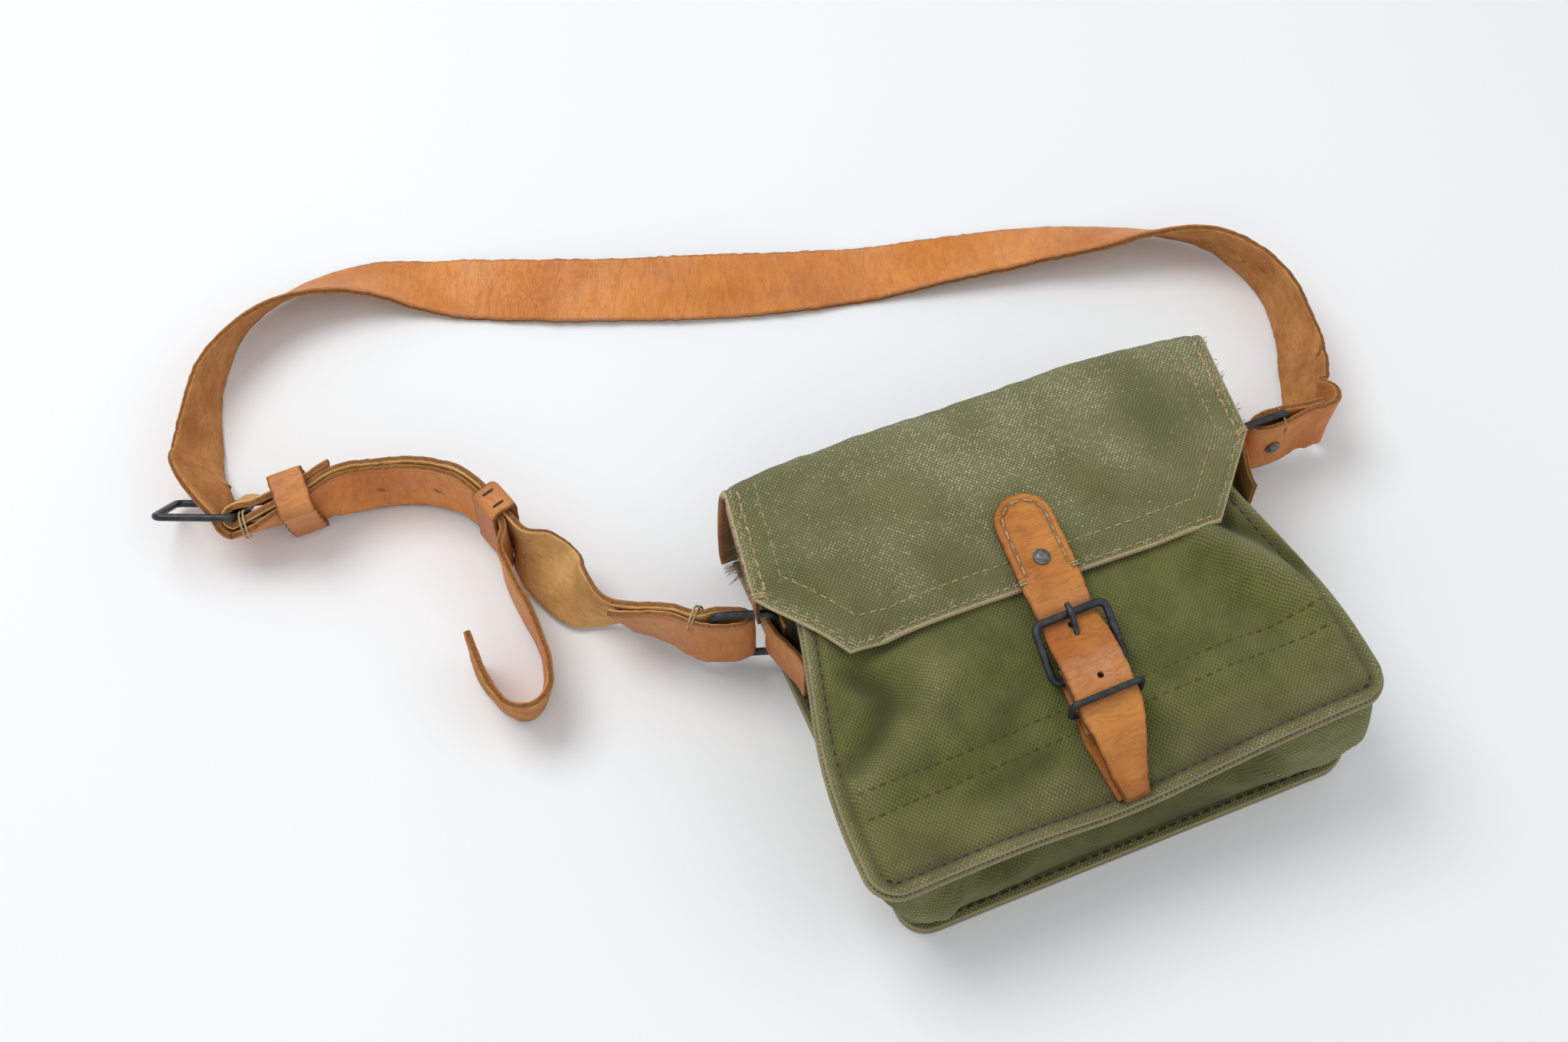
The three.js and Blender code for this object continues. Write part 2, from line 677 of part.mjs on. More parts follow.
// Loose fold of a strap round the outer bar of a side ring, from its far layer to its near layer.
const foldShape = table('along far', [
  [-6, 0.72], [0, 1.03], [6, 1.1], [11, 0.96], [14.5, 0.55], [15.8, 0], [14.5, -0.55], [11, -0.96], [6, -1.1], [0, -1.03], [-6, -0.72],
]);
const foldBulge = ringWire / 2 + clearance + strapLeather / 2 + 0.1;
function sideFold(ring) {
  return foldShape.map((row) => {
    const point = ring.bar.clone()
      .addScaledVector(ring.out, -row.along / 25 * ringLength)
      .addScaledVector(ring.far, row.far * foldBulge);
    point.z = strapWidth / 2 + ringLift;
    return { point, width: up.clone() };
  });
}

// Adjuster ring: it leans outward with the strap that runs through it.
const adjuster = place({ x: -59.5, y: 47.5, lift: 0, lean: adjusterLean });
const adjusterU = vec(0.918, -0.397, 0).normalize();
const adjusterRight = adjusterU.clone().cross(up);
const adjusterB = adjusterRight.clone().multiplyScalar(Math.cos(radians(adjusterLean)))
  .addScaledVector(up, Math.sin(radians(adjusterLean)));
const adjusterNear = adjusterU.clone().cross(adjusterB);
const adjusterTall = strapWidth + 2 * clearance + ringWire + 1;
adjuster.point.z = adjusterTall / 2 * Math.sin(radians(adjusterLean)) + ringWire / 2 + 2.9;
add('adjuster_ring', wireFrame(adjuster.point, adjusterU, adjusterB, adjusterLength, adjusterTall, ringWire), blackWire);

// Stations round the adjuster ring's right bar at a radius, angle 0 towards -U and 90 towards the near side.
function adjusterTurn(radius, angles) {
  const bar = adjuster.point.clone().addScaledVector(adjusterU, adjusterLength / 2);
  return angles.map((angle) => {
    const turn = radians(angle);
    const point = bar.clone()
      .addScaledVector(adjusterU, -radius * Math.cos(turn))
      .addScaledVector(adjusterNear, radius * Math.sin(turn));
    return { point, width: adjusterB.clone() };
  });
}
const wrapRadius = ringWire / 2 + clearance + strapLeather / 2;

// Rivet on the near face of the shoulder strap, where the strap folds round the right ring
const strapRivet = add('strap_rivet', rivetHead(rivetDiameter / 2, rivetHeight), rivetSteel);
const rivetSeat = 1.1 * foldBulge + strapLeather / 2 + clearance;
strapRivet.rotation.x = Math.PI / 2;
strapRivet.position.copy(sideRing.right.bar)
  .addScaledVector(sideRing.right.out, -0.24 * ringLength)
  .addScaledVector(sideRing.right.far, -rivetSeat);

// Bundle: the line between the two straps from the adjuster ring through both keepers.
const bundleRoute = table('x y lift lean', [
  [-52.0, 43.2, 0.33, 58],
  [-49.4, 42.7, 0.47, 66],
  [-46.7, 42.4, 0.53, 74],
  [-44.0, 42.5, 0.53, 82],
  [-41.0, 42.9, 0.50, 88],
  [-38.0, 43.1, 0.22, 90],
  [-34.0, 42.5, 0.04, 90],
  [-30.0, 41.0, 0.06, 90],
  [-26.7, 38.8, 0.15, 90],
  [-24.3, 36.2, 0.30, 90],
  [-22.5, 32.8, 0.38, 90],
  [-21.2, 29.7, 0.38, 90],
  [-20.5, 26.5, 0.36, 90],
]);
const bundle = withWidths([
  ...adjusterTurn(wrapRadius + layerStep / 2 + 0.2, [90]),
  ...bundleRoute.map(place),
]);

// Shoulder strap: far layer by the right ring, round it, over the loop, through the adjuster and the tail.
const shoulderStart = table('along x y lift lean', [
  [0, 6.2, 0.3, 0.8, 90],
  [0, 3.6, 0.6, 0.9, 90],
]);
const shoulderRoute = table('along x y lift lean', [
  [0.00, 3.6, -0.6, 0.90, 90],
  [0.00, 6.2, -0.6, 0.75, 90],
  [0.00, 8.2, 0.0, 0.60, 88],
  [0.00, 9.0, 1.6, 0.40, 78],
  [0.02, 9.8, 4.2, 0.20, 66],
  [0.05, 14.8, 9.8, 0.05, 62],
  [0.08, 19.5, 16.0, 0, 72],
  [0.11, 23.3, 21.9, 0, 81],
  [0.13, 24.8, 27.5, 0, 90],
  [0.16, 25.8, 32.4, 0, 99],
  [0.18, 25.0, 36.4, 0, 110],
  [0.20, 22.7, 39.6, 0, 120],
  [0.23, 20.3, 42.0, 0, 131],
  [0.25, 16.3, 44.0, 0, 142],
  [0.31, 10.0, 47.7, 0, 158],
  [0.36, 2.2, 50.7, 0, 169],
  [0.42, -4.8, 53.5, 0, 180],
  [0.48, -11.9, 56.0, 0, 194],
  [0.53, -19.0, 59.1, 0, 206],
  [0.59, -25.2, 63.5, 0, 201],
  [0.65, -31.3, 68.2, 0, 197],
  [0.70, -38.1, 73.7, 0, 188],
  [0.73, -41.8, 77.0, 0, 172],
  [0.76, -45.3, 79.5, 0, 155],
  [0.79, -48.3, 80.7, 0, 143],
  [0.82, -51.1, 80.8, 0, 133],
  [0.84, -54.4, 80.0, 0, 125],
  [0.86, -57.3, 77.7, 0, 115],
  [0.89, -59.1, 73.9, 0, 98],
  [0.91, -60.4, 70.3, 0, 86],
  [0.93, -60.8, 66.0, 0, 76],
  [0.96, -60.4, 60.1, 0, 65],
  [1.00, -58.3, 55.3, 0.30, 57],
  [1.00, -58.4, 51.6, 0.81, 54],
]);
const tailRoute = table('x y lift lean', [
  [-22.7, 23.2, 0.20, 90],
  [-22.7, 19.8, 0.05, 90],
  [-22.4, 16.5, 0, 90],
  [-22.0, 12.8, 0, 90],
  [-22.0, 8.8, 0, 90],
  [-22.8, 4.4, 0, 96],
  [-24.3, 1.6, 0, 104],
  [-26.3, 0.4, 0, 108],
  [-28.4, 1.0, 0, 106],
  [-29.9, 3.1, 0, 100],
  [-30.8, 6.5, 0, 95],
  [-31.2, 9.8, 0, 90],
  [-31.2, 12.6, 0, 90],
]);
const shoulderStations = withWidths([
  ...shoulderStart.map(place),
  ...sideFold(sideRing.right),
  ...shoulderRoute.map(place),
  ...adjusterTurn(wrapRadius + layerStep + 0.5, [10, 40, 70, 90]),
  ...offset(bundle, -layerStep / 2, [0, 1, 0.3]).slice(1),
  ...tailRoute.map(place),
]);
add('shoulder_strap', ribbon(shoulderStations, strapWidth, strapLeather, 2), tanLeather);

// Adjuster strap: short layer, round the adjuster ring, through the keepers and on to the left ring.
const adjusterRoute = table('x y lift lean', [
  [-19.4, 24.6, 0.26, 98],
  [-17.8, 22.5, 0.15, 122],
  [-16.4, 19.6, 0.03, 138],
  [-15.4, 16.6, 0, 132],
  [-14.1, 13.9, 0.04, 112],
  [-12.3, 11.6, 0.14, 88],
]);
const lowerBundle = withWidths(table('x y lift lean', [
  [-10.3, 8.8, 0.30, 72],
  [-7.4, 6.4, 0.55, 76],
  [-4.5, 3.7, 0.80, 85],
]).map(place));
const shortLayer = bundle.slice(0, 6);
const adjusterStations = withWidths([
  ...offset(shortLayer, layerStep * 1.5, [0, 0.8, 0]).slice(1).reverse(),
  ...adjusterTurn(wrapRadius + 0.2, [-90, -60, -30, 0, 30, 60, 90]),
  ...offset(bundle, layerStep / 2).slice(1),
  ...adjusterRoute.map(place),
  ...offset(lowerBundle, layerStep / 2),
  ...sideFold(sideRing.left),
  ...offset(lowerBundle, -layerStep / 2).reverse(),
]);
add('adjuster_strap', ribbon(adjusterStations, strapWidth, strapLeather, 2), tanLeather);

// Leather keepers round the bundle, given the place along it and the layers that they hold.
function keeperBand(stations, layers, slack) {
  const [before, middle, after] = stations;
  const along = after.point.clone().sub(before.point).normalize();
  const across = middle.width.clone().addScaledVector(along, -middle.width.dot(along)).normalize();
  const far = across.clone().cross(along);
  const lift = strapWidth / 2 + 6 * clearance + keeperLeather / 2;
  const low = layers[0] * layerStep - slack - keeperLeather / 2;
  const high = layers[1] * layerStep + slack + keeperLeather / 2;
  const round = 1.2;
  const outline = [
    [low, lift - round], [low + round, lift], [high - round, lift], [high, lift - round],
    [high, round - lift], [high - round, -lift], [low + round, -lift], [low, round - lift],
  ];
  const middleN = (low + high) / 2;
  return loft(outline.map(([n, w]) => {
    const inward = vec(0, 0, 0).addScaledVector(far, n - middleN).addScaledVector(across, w).normalize();
    const p = middle.point.clone().addScaledVector(far, n).addScaledVector(across, w);
    return [[1, 1], [1, -1], [-1, -1], [-1, 1]].map(([a, o]) => {
      return p.clone().addScaledVector(along, a * keeperLength / 2).addScaledVector(inward, o * keeperLeather / 2);
    });
  }), true);
}
add('strap_keeper_1', keeperBand(bundle.slice(2, 5), [-1, 2], 2), tanLeather);
add('strap_keeper_2', keeperBand(bundle.slice(11, 14), [-1, 1], 0.1), tanLeather);

export default haversack;
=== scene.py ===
"""Looks of a canvas haversack with a leather shoulder strap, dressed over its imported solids.

The tables are in millimetres, as the solids are, and turn into metres where a mesh is made.
"""
import math

import bpy
import numpy as np
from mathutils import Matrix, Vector
from mathutils.kdtree import KDTree


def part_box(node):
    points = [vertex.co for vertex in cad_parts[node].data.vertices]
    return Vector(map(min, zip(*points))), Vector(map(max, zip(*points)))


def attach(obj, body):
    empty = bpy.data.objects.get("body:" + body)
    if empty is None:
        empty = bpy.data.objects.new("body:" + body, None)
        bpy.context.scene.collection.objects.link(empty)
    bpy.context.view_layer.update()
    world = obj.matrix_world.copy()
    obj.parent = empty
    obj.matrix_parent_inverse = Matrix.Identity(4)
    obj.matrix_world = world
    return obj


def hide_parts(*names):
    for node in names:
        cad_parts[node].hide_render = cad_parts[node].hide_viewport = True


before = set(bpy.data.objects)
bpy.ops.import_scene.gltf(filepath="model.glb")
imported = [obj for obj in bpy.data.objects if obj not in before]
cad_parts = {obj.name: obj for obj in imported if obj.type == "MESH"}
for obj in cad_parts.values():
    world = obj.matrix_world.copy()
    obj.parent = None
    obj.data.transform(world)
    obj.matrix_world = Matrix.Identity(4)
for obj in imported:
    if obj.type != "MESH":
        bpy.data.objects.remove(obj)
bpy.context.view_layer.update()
MM = 0.001

# Canvas bag
BAG_WIDTH = 213
BAG_HEIGHT = 184
BAG_DEPTH = 66
CANVAS = 2
SEAM_FLANGE = 6
CORNER_RADIUS = 12
CLEARANCE = 0.3

# Flap and the leather ears under it
FLAP_CANVAS = 3
FLAP_WIDTH = 218
FLAP_REACH = 92
FLAP_BEVEL = 38
FLAP_BEVEL_RUN = 30
EAR_LEATHER = 2
EAR_WIDTH = 11
EAR_DROP = 20

# Closure strap, buckle and wire keeper
CLOSURE_WIDTH = 25
CLOSURE_LEATHER = 3
CLOSURE_LENGTH = 130
CLOSURE_TIP = 10
CHAPE_LEATHER = 2.5
BUCKLE_LENGTH = 23
BUCKLE_WIRE = 3.3
PRONG_WIRE = 2.4
KEEPER_WIRE = 2.6
RIVET_DIAMETER = 7
RIVET_HEIGHT = 1.8

# Straps, rings, tabs and leather keepers
STRAP_WIDTH = 30
STRAP_LEATHER = 3
STRAP_REACH = 300
LAYER_GAP = 1.2
KEEPER_LEATHER = 2
KEEPER_LENGTH = 15
RING_WIRE = 3.3
RING_LENGTH = 25
ADJUSTER_LENGTH = 33
ADJUSTER_LEAN = 50
TAB_LEATHER = 2
TAB_WIDTH = 26
TAB_LENGTH = 26

UP = np.array([0.0, 0.0, 1.0])


# Small helpers

def point(x, y, z):
    return np.array([x, y, z], float)


def unit(v):
    return v / np.maximum(np.linalg.norm(v, axis=-1, keepdims=True), 1e-12)


def mix(a, b, share):
    return a + (b - a) * share


def turned(degrees):
    """Cosine and sine of an angle."""
    return math.cos(math.radians(degrees)), math.sin(math.radians(degrees))


def read(rows, at, column=1):
    """One column of a table at any places along its first column, as a smooth curve."""
    rows = np.array(rows, float)
    keys, values = rows[:, 0], rows[:, column]
    i = np.clip(np.searchsorted(keys, at), 1, len(keys) - 1)
    slope = np.gradient(values)
    slope[1:-1] = (values[2:] - values[:-2]) / (keys[2:] - keys[:-2])
    slope[0] = (values[1] - values[0]) / (keys[1] - keys[0])
    slope[-1] = (values[-1] - values[-2]) / (keys[-1] - keys[-2])
    span = keys[i] - keys[i - 1]
    u = np.clip((at - keys[i - 1]) / span, 0, 1)
    return bent(u, values[i] - values[i - 1], slope[i - 1] * span, slope[i] * span) + values[i - 1]


def bent(u, step, slope_in, slope_out):
    """A smooth rise of one step with a slope at each end."""
    return step * u + u * (1 - u) * ((slope_in - step) * (1 - u) - (slope_out - step) * u)


def ripple(x, y, size, seed):
    """Smooth irregular waves of about one size in millimetres, from about -1 to 1."""
    rng = np.random.default_rng(seed)
    total = 0
    for turn, phase, length in rng.random((10, 3)):
        rate = 2 * math.pi / (size * (0.6 + 0.9 * length))
        angle = turn * 2 * math.pi
        total = total + np.sin(rate * (x * math.cos(angle) + y * math.sin(angle)) + phase * 2 * math.pi)
    return total / 3.5


def bump(distance, width):
    return np.exp(-(distance / width) ** 2)


def ease(value, low, high):
    u = np.clip((value - low) / (high - low), 0, 1)
    return u * u * (3 - 2 * u)


def travel(points):
    """How far along a line of points each one lies."""
    return np.concatenate([[0], np.cumsum(np.linalg.norm(np.diff(points, axis=0), axis=1))])


def along_line(line, steps, at):
    """What a line of points or directions has at a distance along it."""
    return np.array([np.interp(at, steps, column) for column in np.transpose(line)])


def closed_path(points, step):
    """A closed line with more points on it, about one step apart."""
    fine = []
    for a, b in zip(points, np.roll(points, -1, 0)):
        steps = max(int(np.linalg.norm(b - a) / step), 1)
        fine += [mix(a, b, k / steps) for k in range(steps)]
    return np.array(fine)


def circle(centre, side, other, radius, sides):
    angles = (np.arange(sides) / sides * 2 * math.pi)[:, None]
    return centre + (np.cos(angles) * side + np.sin(angles) * other) * radius


def square_frame(before, after, width):
    """Directions along a strap, across it and off its face."""
    along = unit(after - before)
    across = unit(width - along * width.dot(along))
    return along, across, np.cross(across, along)


# Meshes

def add_object(name, data):
    thing = bpy.data.objects.new(name, data)
    bpy.context.scene.collection.objects.link(thing)
    return thing


def make_mesh(name, points, faces):
    mesh = bpy.data.meshes.new(name)
    mesh.from_pydata((np.asarray(points) * MM).tolist(), [], faces)
    return mesh


def set_attribute(mesh, key, values):
    if key in mesh.attributes:
        mesh.attributes.remove(mesh.attributes[key])
    attribute = mesh.attributes.new(key, "FLOAT_VECTOR", "POINT")
    attribute.data.foreach_set("vector", np.asarray(values, np.float32).ravel())


def piece(name, body, material, replaced=None):
    """A piece of the object. Its body is points and faces, and where they are drawn on, a layout (the flat
    place in metres and the side) and a tone (wear, dirt and the distance from an edge in millimetres). Wear
    and dirt also carry painted shade on some pieces."""
    points, faces, *drawn = body
    mesh = make_mesh(name, points, faces)
    for key, values in zip(("layout", "tone"), drawn):
        set_attribute(mesh, key, values)
    mesh.polygons.foreach_set("use_smooth", [True] * len(mesh.polygons))
    mesh.materials.append(material)
    thing = add_object(name, mesh)
    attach(thing, "root")
    if replaced:
        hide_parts(replaced)
    return thing


def outward_faces(points, faces):
    """Turns the faces of a closed body outward."""
    points = np.asarray(points)
    total = 0.0
    for face in faces:
        a, b, c = points[face[0]], points[face[1]], points[face[2]]
        total += float(np.dot(a, np.cross(b, c)))
        if len(face) == 4:
            total += float(np.dot(a, np.cross(c, points[face[3]])))
    return faces if total > 0 else [tuple(reversed(face)) for face in faces]


def bridge(a, b):
    """Faces between two closed rings of point numbers."""
    return [(int(a[i]), int(a[i - 1]), int(b[i - 1]), int(b[i])) for i in range(len(a))]


def grid_normals(middle):
    return unit(np.cross(np.gradient(middle, axis=1), np.gradient(middle, axis=0)))


def slab(middle, thickness, normals=None, flat=None, rim=0.7, tone=None):
    """The body of a closed sheet with rounded edges, round a grid of middle points."""
    rows, columns = middle.shape[:2]
    normals = grid_normals(middle) if normals is None else unit(np.broadcast_to(normals, middle.shape))
    half = np.broadcast_to(np.asarray(thickness, float) / 2, (rows, columns))
    flat = middle[..., :2] if flat is None else flat
    tone = np.zeros((rows, columns, 3)) if tone is None else tone
    border = [(0, c) for c in range(columns)] + [(r, columns - 1) for r in range(1, rows)]
    border += [(rows - 1, c) for c in range(columns - 2, -1, -1)] + [(r, 0) for r in range(rows - 2, 0, -1)]
    br, bc = np.array(border).T
    edge, normal = middle[br, bc], normals[br, bc]
    out = edge - middle[np.clip(br, 1, rows - 2), np.clip(bc, 1, columns - 2)]
    out = unit(out - (out * normal).sum(-1, keepdims=True) * normal)
    middle = middle.copy()
    middle[br, bc] = edge - rim * out
    points = [(middle + normals * half[..., None] * side).reshape(-1, 3) for side in (1, -1)]
    sides = [np.ones(rows * columns), -np.ones(rows * columns)]
    flats, tones = [flat.reshape(-1, 2)] * 2, [tone.reshape(-1, 3)] * 2
    for angle in (50, 15, -15, -50):
        c, s = turned(angle)
        points.append(edge + out * rim * (c - 1) + normal * (half[br, bc] * s)[:, None])
        sides.append(np.full(len(border), s))
        flats.append(flat[br, bc])
        tones.append(tone[br, bc])
    count = rows * columns
    index = np.arange(count).reshape(rows, columns)
    cells = np.stack([index[:-1, :-1], index[:-1, 1:], index[1:, 1:], index[1:, :-1]], -1).reshape(-1, 4)
    faces = [tuple(cell) for cell in cells.tolist()]
    faces += [tuple(reversed(cell)) for cell in (cells + count).tolist()]
    rings = [index[br, bc], *(2 * count + np.arange(4 * len(border)).reshape(4, -1)), index[br, bc] + count]
    for a, b in zip(rings[:-1], rings[1:]):
        faces += bridge(a, b)
    points = np.concatenate(points)
    layout = np.column_stack([np.concatenate(flats) * MM, np.concatenate(sides)])
    return points, outward_faces(points, faces), layout, np.concatenate(tones)


def sweep(rings, loop=True):
    """The body through rings of points. The ends of an open one are rounded off."""
    rings = np.asarray(rings, float)
    caps = ((0.8, 0.25), (0.4, 0.42))
    if not loop:
        ends = []
        for ring, beside in ((rings[0], rings[1]), (rings[-1], rings[-2])):
            middle = ring.mean(0)
            out = unit(middle - beside.mean(0)) * np.linalg.norm(ring - middle, axis=1).max()
            ends.append([middle + (ring - middle) * wide + out * rise for wide, rise in caps])
        rings = np.concatenate([ends[0][::-1], rings, ends[1]])
    count, size = rings.shape[:2]
    index = np.arange(count * size).reshape(count, size)
    faces = []
    for here, there in zip(index, np.roll(index, -1, 0) if loop else index[1:]):
        faces += bridge(here, there)
    if not loop:
        faces += [tuple(index[0].tolist()), tuple(index[-1, ::-1].tolist())]
    points = rings.reshape(-1, 3)
    return points, outward_faces(points, faces)


def wire_rings(path, diameter, loop=True, sides=16):
    path = np.asarray(path, float)
    along = unit(np.roll(path, -1, 0) - np.roll(path, 1, 0) if loop else np.gradient(path, axis=0))
    side = UP if abs(along[0][2]) < 0.9 else point(1, 0, 0)
    rings = []
    for p, a in zip(path, along):
        side = unit(side - a * side.dot(a))
        rings.append(circle(p, side, np.cross(a, side), diameter / 2, sides))
    return rings


def wire_frame(centre, u, v, along_u, along_v, diameter):
    """Rounded rectangle of wire, by its two centre-line lengths."""
    path = []
    for su, sv, start in ((1, 1, 0), (-1, 1, 90), (-1, -1, 180), (1, -1, 270)):
        for angle in np.linspace(start, start + 90, 7):
            c, s = turned(angle)
            path.append(centre + u * (su * (along_u / 2 - diameter) + c * diameter)
                        + v * (sv * (along_v / 2 - diameter) + s * diameter))
    return wire_rings(closed_path(np.array(path), 1.5), diameter)


# Threads: every stitch is a short raised thread whose ends go down into the cloth

class Threads:
    def __init__(self):
        self.points, self.faces, self.layout = [], [], []
        self.count = 0

    def thread(self, path, radius, sides=6):
        path = np.asarray(path, float)
        rings = np.array(wire_rings(path, radius * 2, loop=False, sides=sides))
        rings[0] = mix(rings[0], path[0], 0.6)
        rings[-1] = mix(rings[-1], path[-1], 0.6)
        points, faces = sweep(rings, loop=False)
        self.points.append(points)
        self.faces += [tuple(i + self.count for i in face) for face in faces]
        seed = (self.count * 0.618) % 1
        along = np.repeat(np.linspace(0, 1, len(points) // sides), sides)
        self.layout.append(np.stack([along, np.full(len(points), seed), np.ones(len(points))], 1))
        self.count += len(points)

    def stitch(self, a, b, normal, radius, height):
        shape = ((0, -0.8), (0.14, 0.35), (0.5, height / radius), (0.86, 0.35), (1, -0.8))
        self.thread([mix(a, b, u) + normal * radius * rise for u, rise in shape], radius)

    def row(self, points, normals, pitch, share, radius, height, jitter=0.12, seed=1):
        """Running stitches of one pitch along a line of points. share is how much of the pitch shows."""
        points = np.asarray(points, float)
        normals = np.broadcast_to(normals, points.shape)
        rng = np.random.default_rng(seed)
        steps = travel(points)
        for k in range(int(steps[-1] / pitch)):
            start = (k + 0.14 + jitter * (rng.random() - 0.5)) * pitch
            end = start + share * pitch
            a, b = along_line(points, steps, start), along_line(points, steps, end)
            self.stitch(a, b, unit(along_line(normals, steps, (start + end) / 2)), radius, height)

    def make(self, name, material, slot):
        piece(name, (np.concatenate(self.points), self.faces, np.concatenate(self.layout)), material)


# Materials

class Value:
    """The output of a node. Plain arithmetic on it makes more nodes."""

    def __init__(self, nodes, socket):
        self.nodes, self.socket = nodes, socket

    def __add__(self, other):
        return self.nodes.math("ADD", self, other)

    def __sub__(self, other):
        return self.nodes.math("SUBTRACT", self, other)

    def __rsub__(self, other):
        return self.nodes.math("SUBTRACT", other, self)

    def __mul__(self, other):
        return self.nodes.math("MULTIPLY", self, other)

    def __truediv__(self, other):
        return self.nodes.math("DIVIDE", self, other)


class Nodes:
    """Short calls for a material's nodes, which take and give values. Sizes are in metres."""

    def __init__(self, name):
        self.material = bpy.data.materials.new(name)
        self.material.use_nodes = True
        self.tree = self.material.node_tree
        self.shader = self.tree.nodes["Principled BSDF"]

    def make(self, kind, settings, inputs, output=0):
        node = self.tree.nodes.new(kind)
        for key, value in settings.items():
            setattr(node, key, value)
        for key, value in inputs.items():
            self.feed(node.inputs[key], value)
        return Value(self, node.outputs[output])

    def feed(self, socket, value):
        if isinstance(value, Value):
            self.tree.links.new(value.socket, socket)
        elif socket.type == "RGBA":
            socket.default_value = (*value, 1)
        else:
            socket.default_value = value

    def attribute(self, name):
        vector = self.make("ShaderNodeAttribute", {"attribute_name": name}, {}, "Vector")
        parts = self.make("ShaderNodeSeparateXYZ", {}, {0: vector}).socket.node
        return [Value(self, socket) for socket in parts.outputs]

    def object_place(self):
        return self.make("ShaderNodeTexCoord", {}, {}, "Object")

    def join(self, x, y, z=0.0):
        return self.make("ShaderNodeCombineXYZ", {}, {0: x, 1: y, 2: z})

    def math(self, operation, a, b=0.0):
        return self.make("ShaderNodeMath", {"operation": operation}, {0: a, 1: b})

    def stretch(self, vector, factors):
        return self.make("ShaderNodeVectorMath", {"operation": "MULTIPLY"}, {0: vector, 1: factors})

    def noise(self, vector, size, detail=3, rough=0.55, distort=0):
        inputs = {"Vector": vector, "Scale": 1 / size, "Detail": detail, "Roughness": rough,
                  "Distortion": distort}
        return self.make("ShaderNodeTexNoise", {}, inputs)

    def cells(self, vector, size):
        return self.make("ShaderNodeTexVoronoi", {"feature": "F1"}, {"Vector": vector, "Scale": 1 / size})

    def random(self, vector):
        return self.make("ShaderNodeTexWhiteNoise", {"noise_dimensions": "2D"}, {"Vector": vector})

    def between(self, value, low, high):
        """A soft step from 0 at low to 1 at high."""
        soft = {"interpolation_type": "SMOOTHSTEP"}
        return self.make("ShaderNodeMapRange", soft, {0: value, 1: low, 2: high})

    def blend(self, share, a, b):
        return self.make("ShaderNodeMix", {"data_type": "RGBA"}, {0: share, 6: a, 7: b}, 2)

    def relief(self, height, distance, strength, under=None):
        inputs = {"Height": height, "Distance": distance, "Strength": strength}
        if under is not None:
            inputs["Normal"] = under
        return self.make("ShaderNodeBump", {}, inputs)

    def finish(self, **inputs):
        for key, value in inputs.items():
            self.feed(self.shader.inputs[key.replace("_", " ")], value)
        return self.material


def darker(colour, share):
    return tuple(c * share for c in colour)


THREAD_PITCH = 0.9 * MM


def canvas_material(name, dark, green, worn, stain_and_shade, raw, speckle):
    """Heavy plain weave, with painted shade in the troughs between threads. worn is the colour of rubbed
    thread tops and speckle how many of them show.
    Wear below 0 is painted shade in a fold. Dirt above 0 is dirt and stains, and painted shade in fold
    valleys and caved-in hollows; dirt below 0 is the leather binding of an edge."""
    n = Nodes(name)
    x, y, side = n.attribute("layout")
    wear, dirt, edge = n.attribute("tone")
    place = n.join(x, y)
    shift = (n.noise(place, 0.012, 2) - 0.5) * 0.0016
    u, v = (x + shift) / THREAD_PITCH, (y + shift) / (THREAD_PITCH * 1.1)
    weave = n.math("SINE", u * math.pi) * n.math("SINE", v * math.pi) * 0.5 + 0.5
    crossing = n.random(n.join(n.math("FLOOR", u * 0.7), n.math("FLOOR", v * 0.9)))
    slub = n.noise(n.stretch(place, (0.25, 1, 1)), 0.0012, 2)
    slub_up = n.noise(n.stretch(place, (1, 0.25, 1)), 0.0012, 2)
    patch = n.noise(place, 0.028, 4, 0.6)
    tops = n.between(weave + slub * 0.5, 0.55, 1.15)
    colour = n.blend(n.between(patch, 0.3, 0.7), dark, green)
    # Painted shade in the troughs between the threads of the weave.
    colour = n.blend((1 - weave) * 0.6, colour, darker(dark, 0.4))
    lift = wear + n.between(n.noise(place, 0.07, 2), 0.4, 0.7) * 0.12
    rubbed = crossing * 0.75 + n.between(slub_up, 0.3, 0.75) * 0.25
    reach = 0.95 - lift * speckle
    specks = n.between(rubbed, reach, reach + 0.68) * tops
    even = lift * 0.42 * (tops * 0.6 + 0.4)
    colour = n.blend(n.math("MAXIMUM", specks, even), colour, worn)
    # Wear below 0 paints shade into the fold valleys.
    colour = n.blend(wear * -1, colour, darker(dark, 0.4))
    # Dirt and stains, and painted shade where the dirt tone comes from fold valleys and caved-in hollows.
    colour = n.blend((dirt + n.between(patch, 0.55, 0.8) * 0.12) * 0.85, colour, stain_and_shade)
    torn = n.noise(place, 0.002, 3, 0.7) * 2.2 - 0.4
    bare = (1 - n.between(edge, 0.0, torn)) * 0.75
    rim = (1 - n.math("ABSOLUTE", side)) * 0.85
    colour = n.blend(n.math("MAXIMUM", rim, bare), colour, raw)
    binding = n.blend(n.between(patch, 0.35, 0.65), (0.40, 0.155, 0.05), (0.16, 0.075, 0.045))
    colour = n.blend(dirt * -1, colour, binding)
    fine = n.relief(weave + (slub + slub_up) * 0.6, 0.00045, 0.9)
    normal = n.relief(patch, 0.0012, 0.35, under=fine)
    return n.finish(Base_Color=colour, Roughness=0.93, Normal=normal, Specular_IOR_Level=0.2,
                    Sheen_Weight=0.1, Sheen_Roughness=0.6)


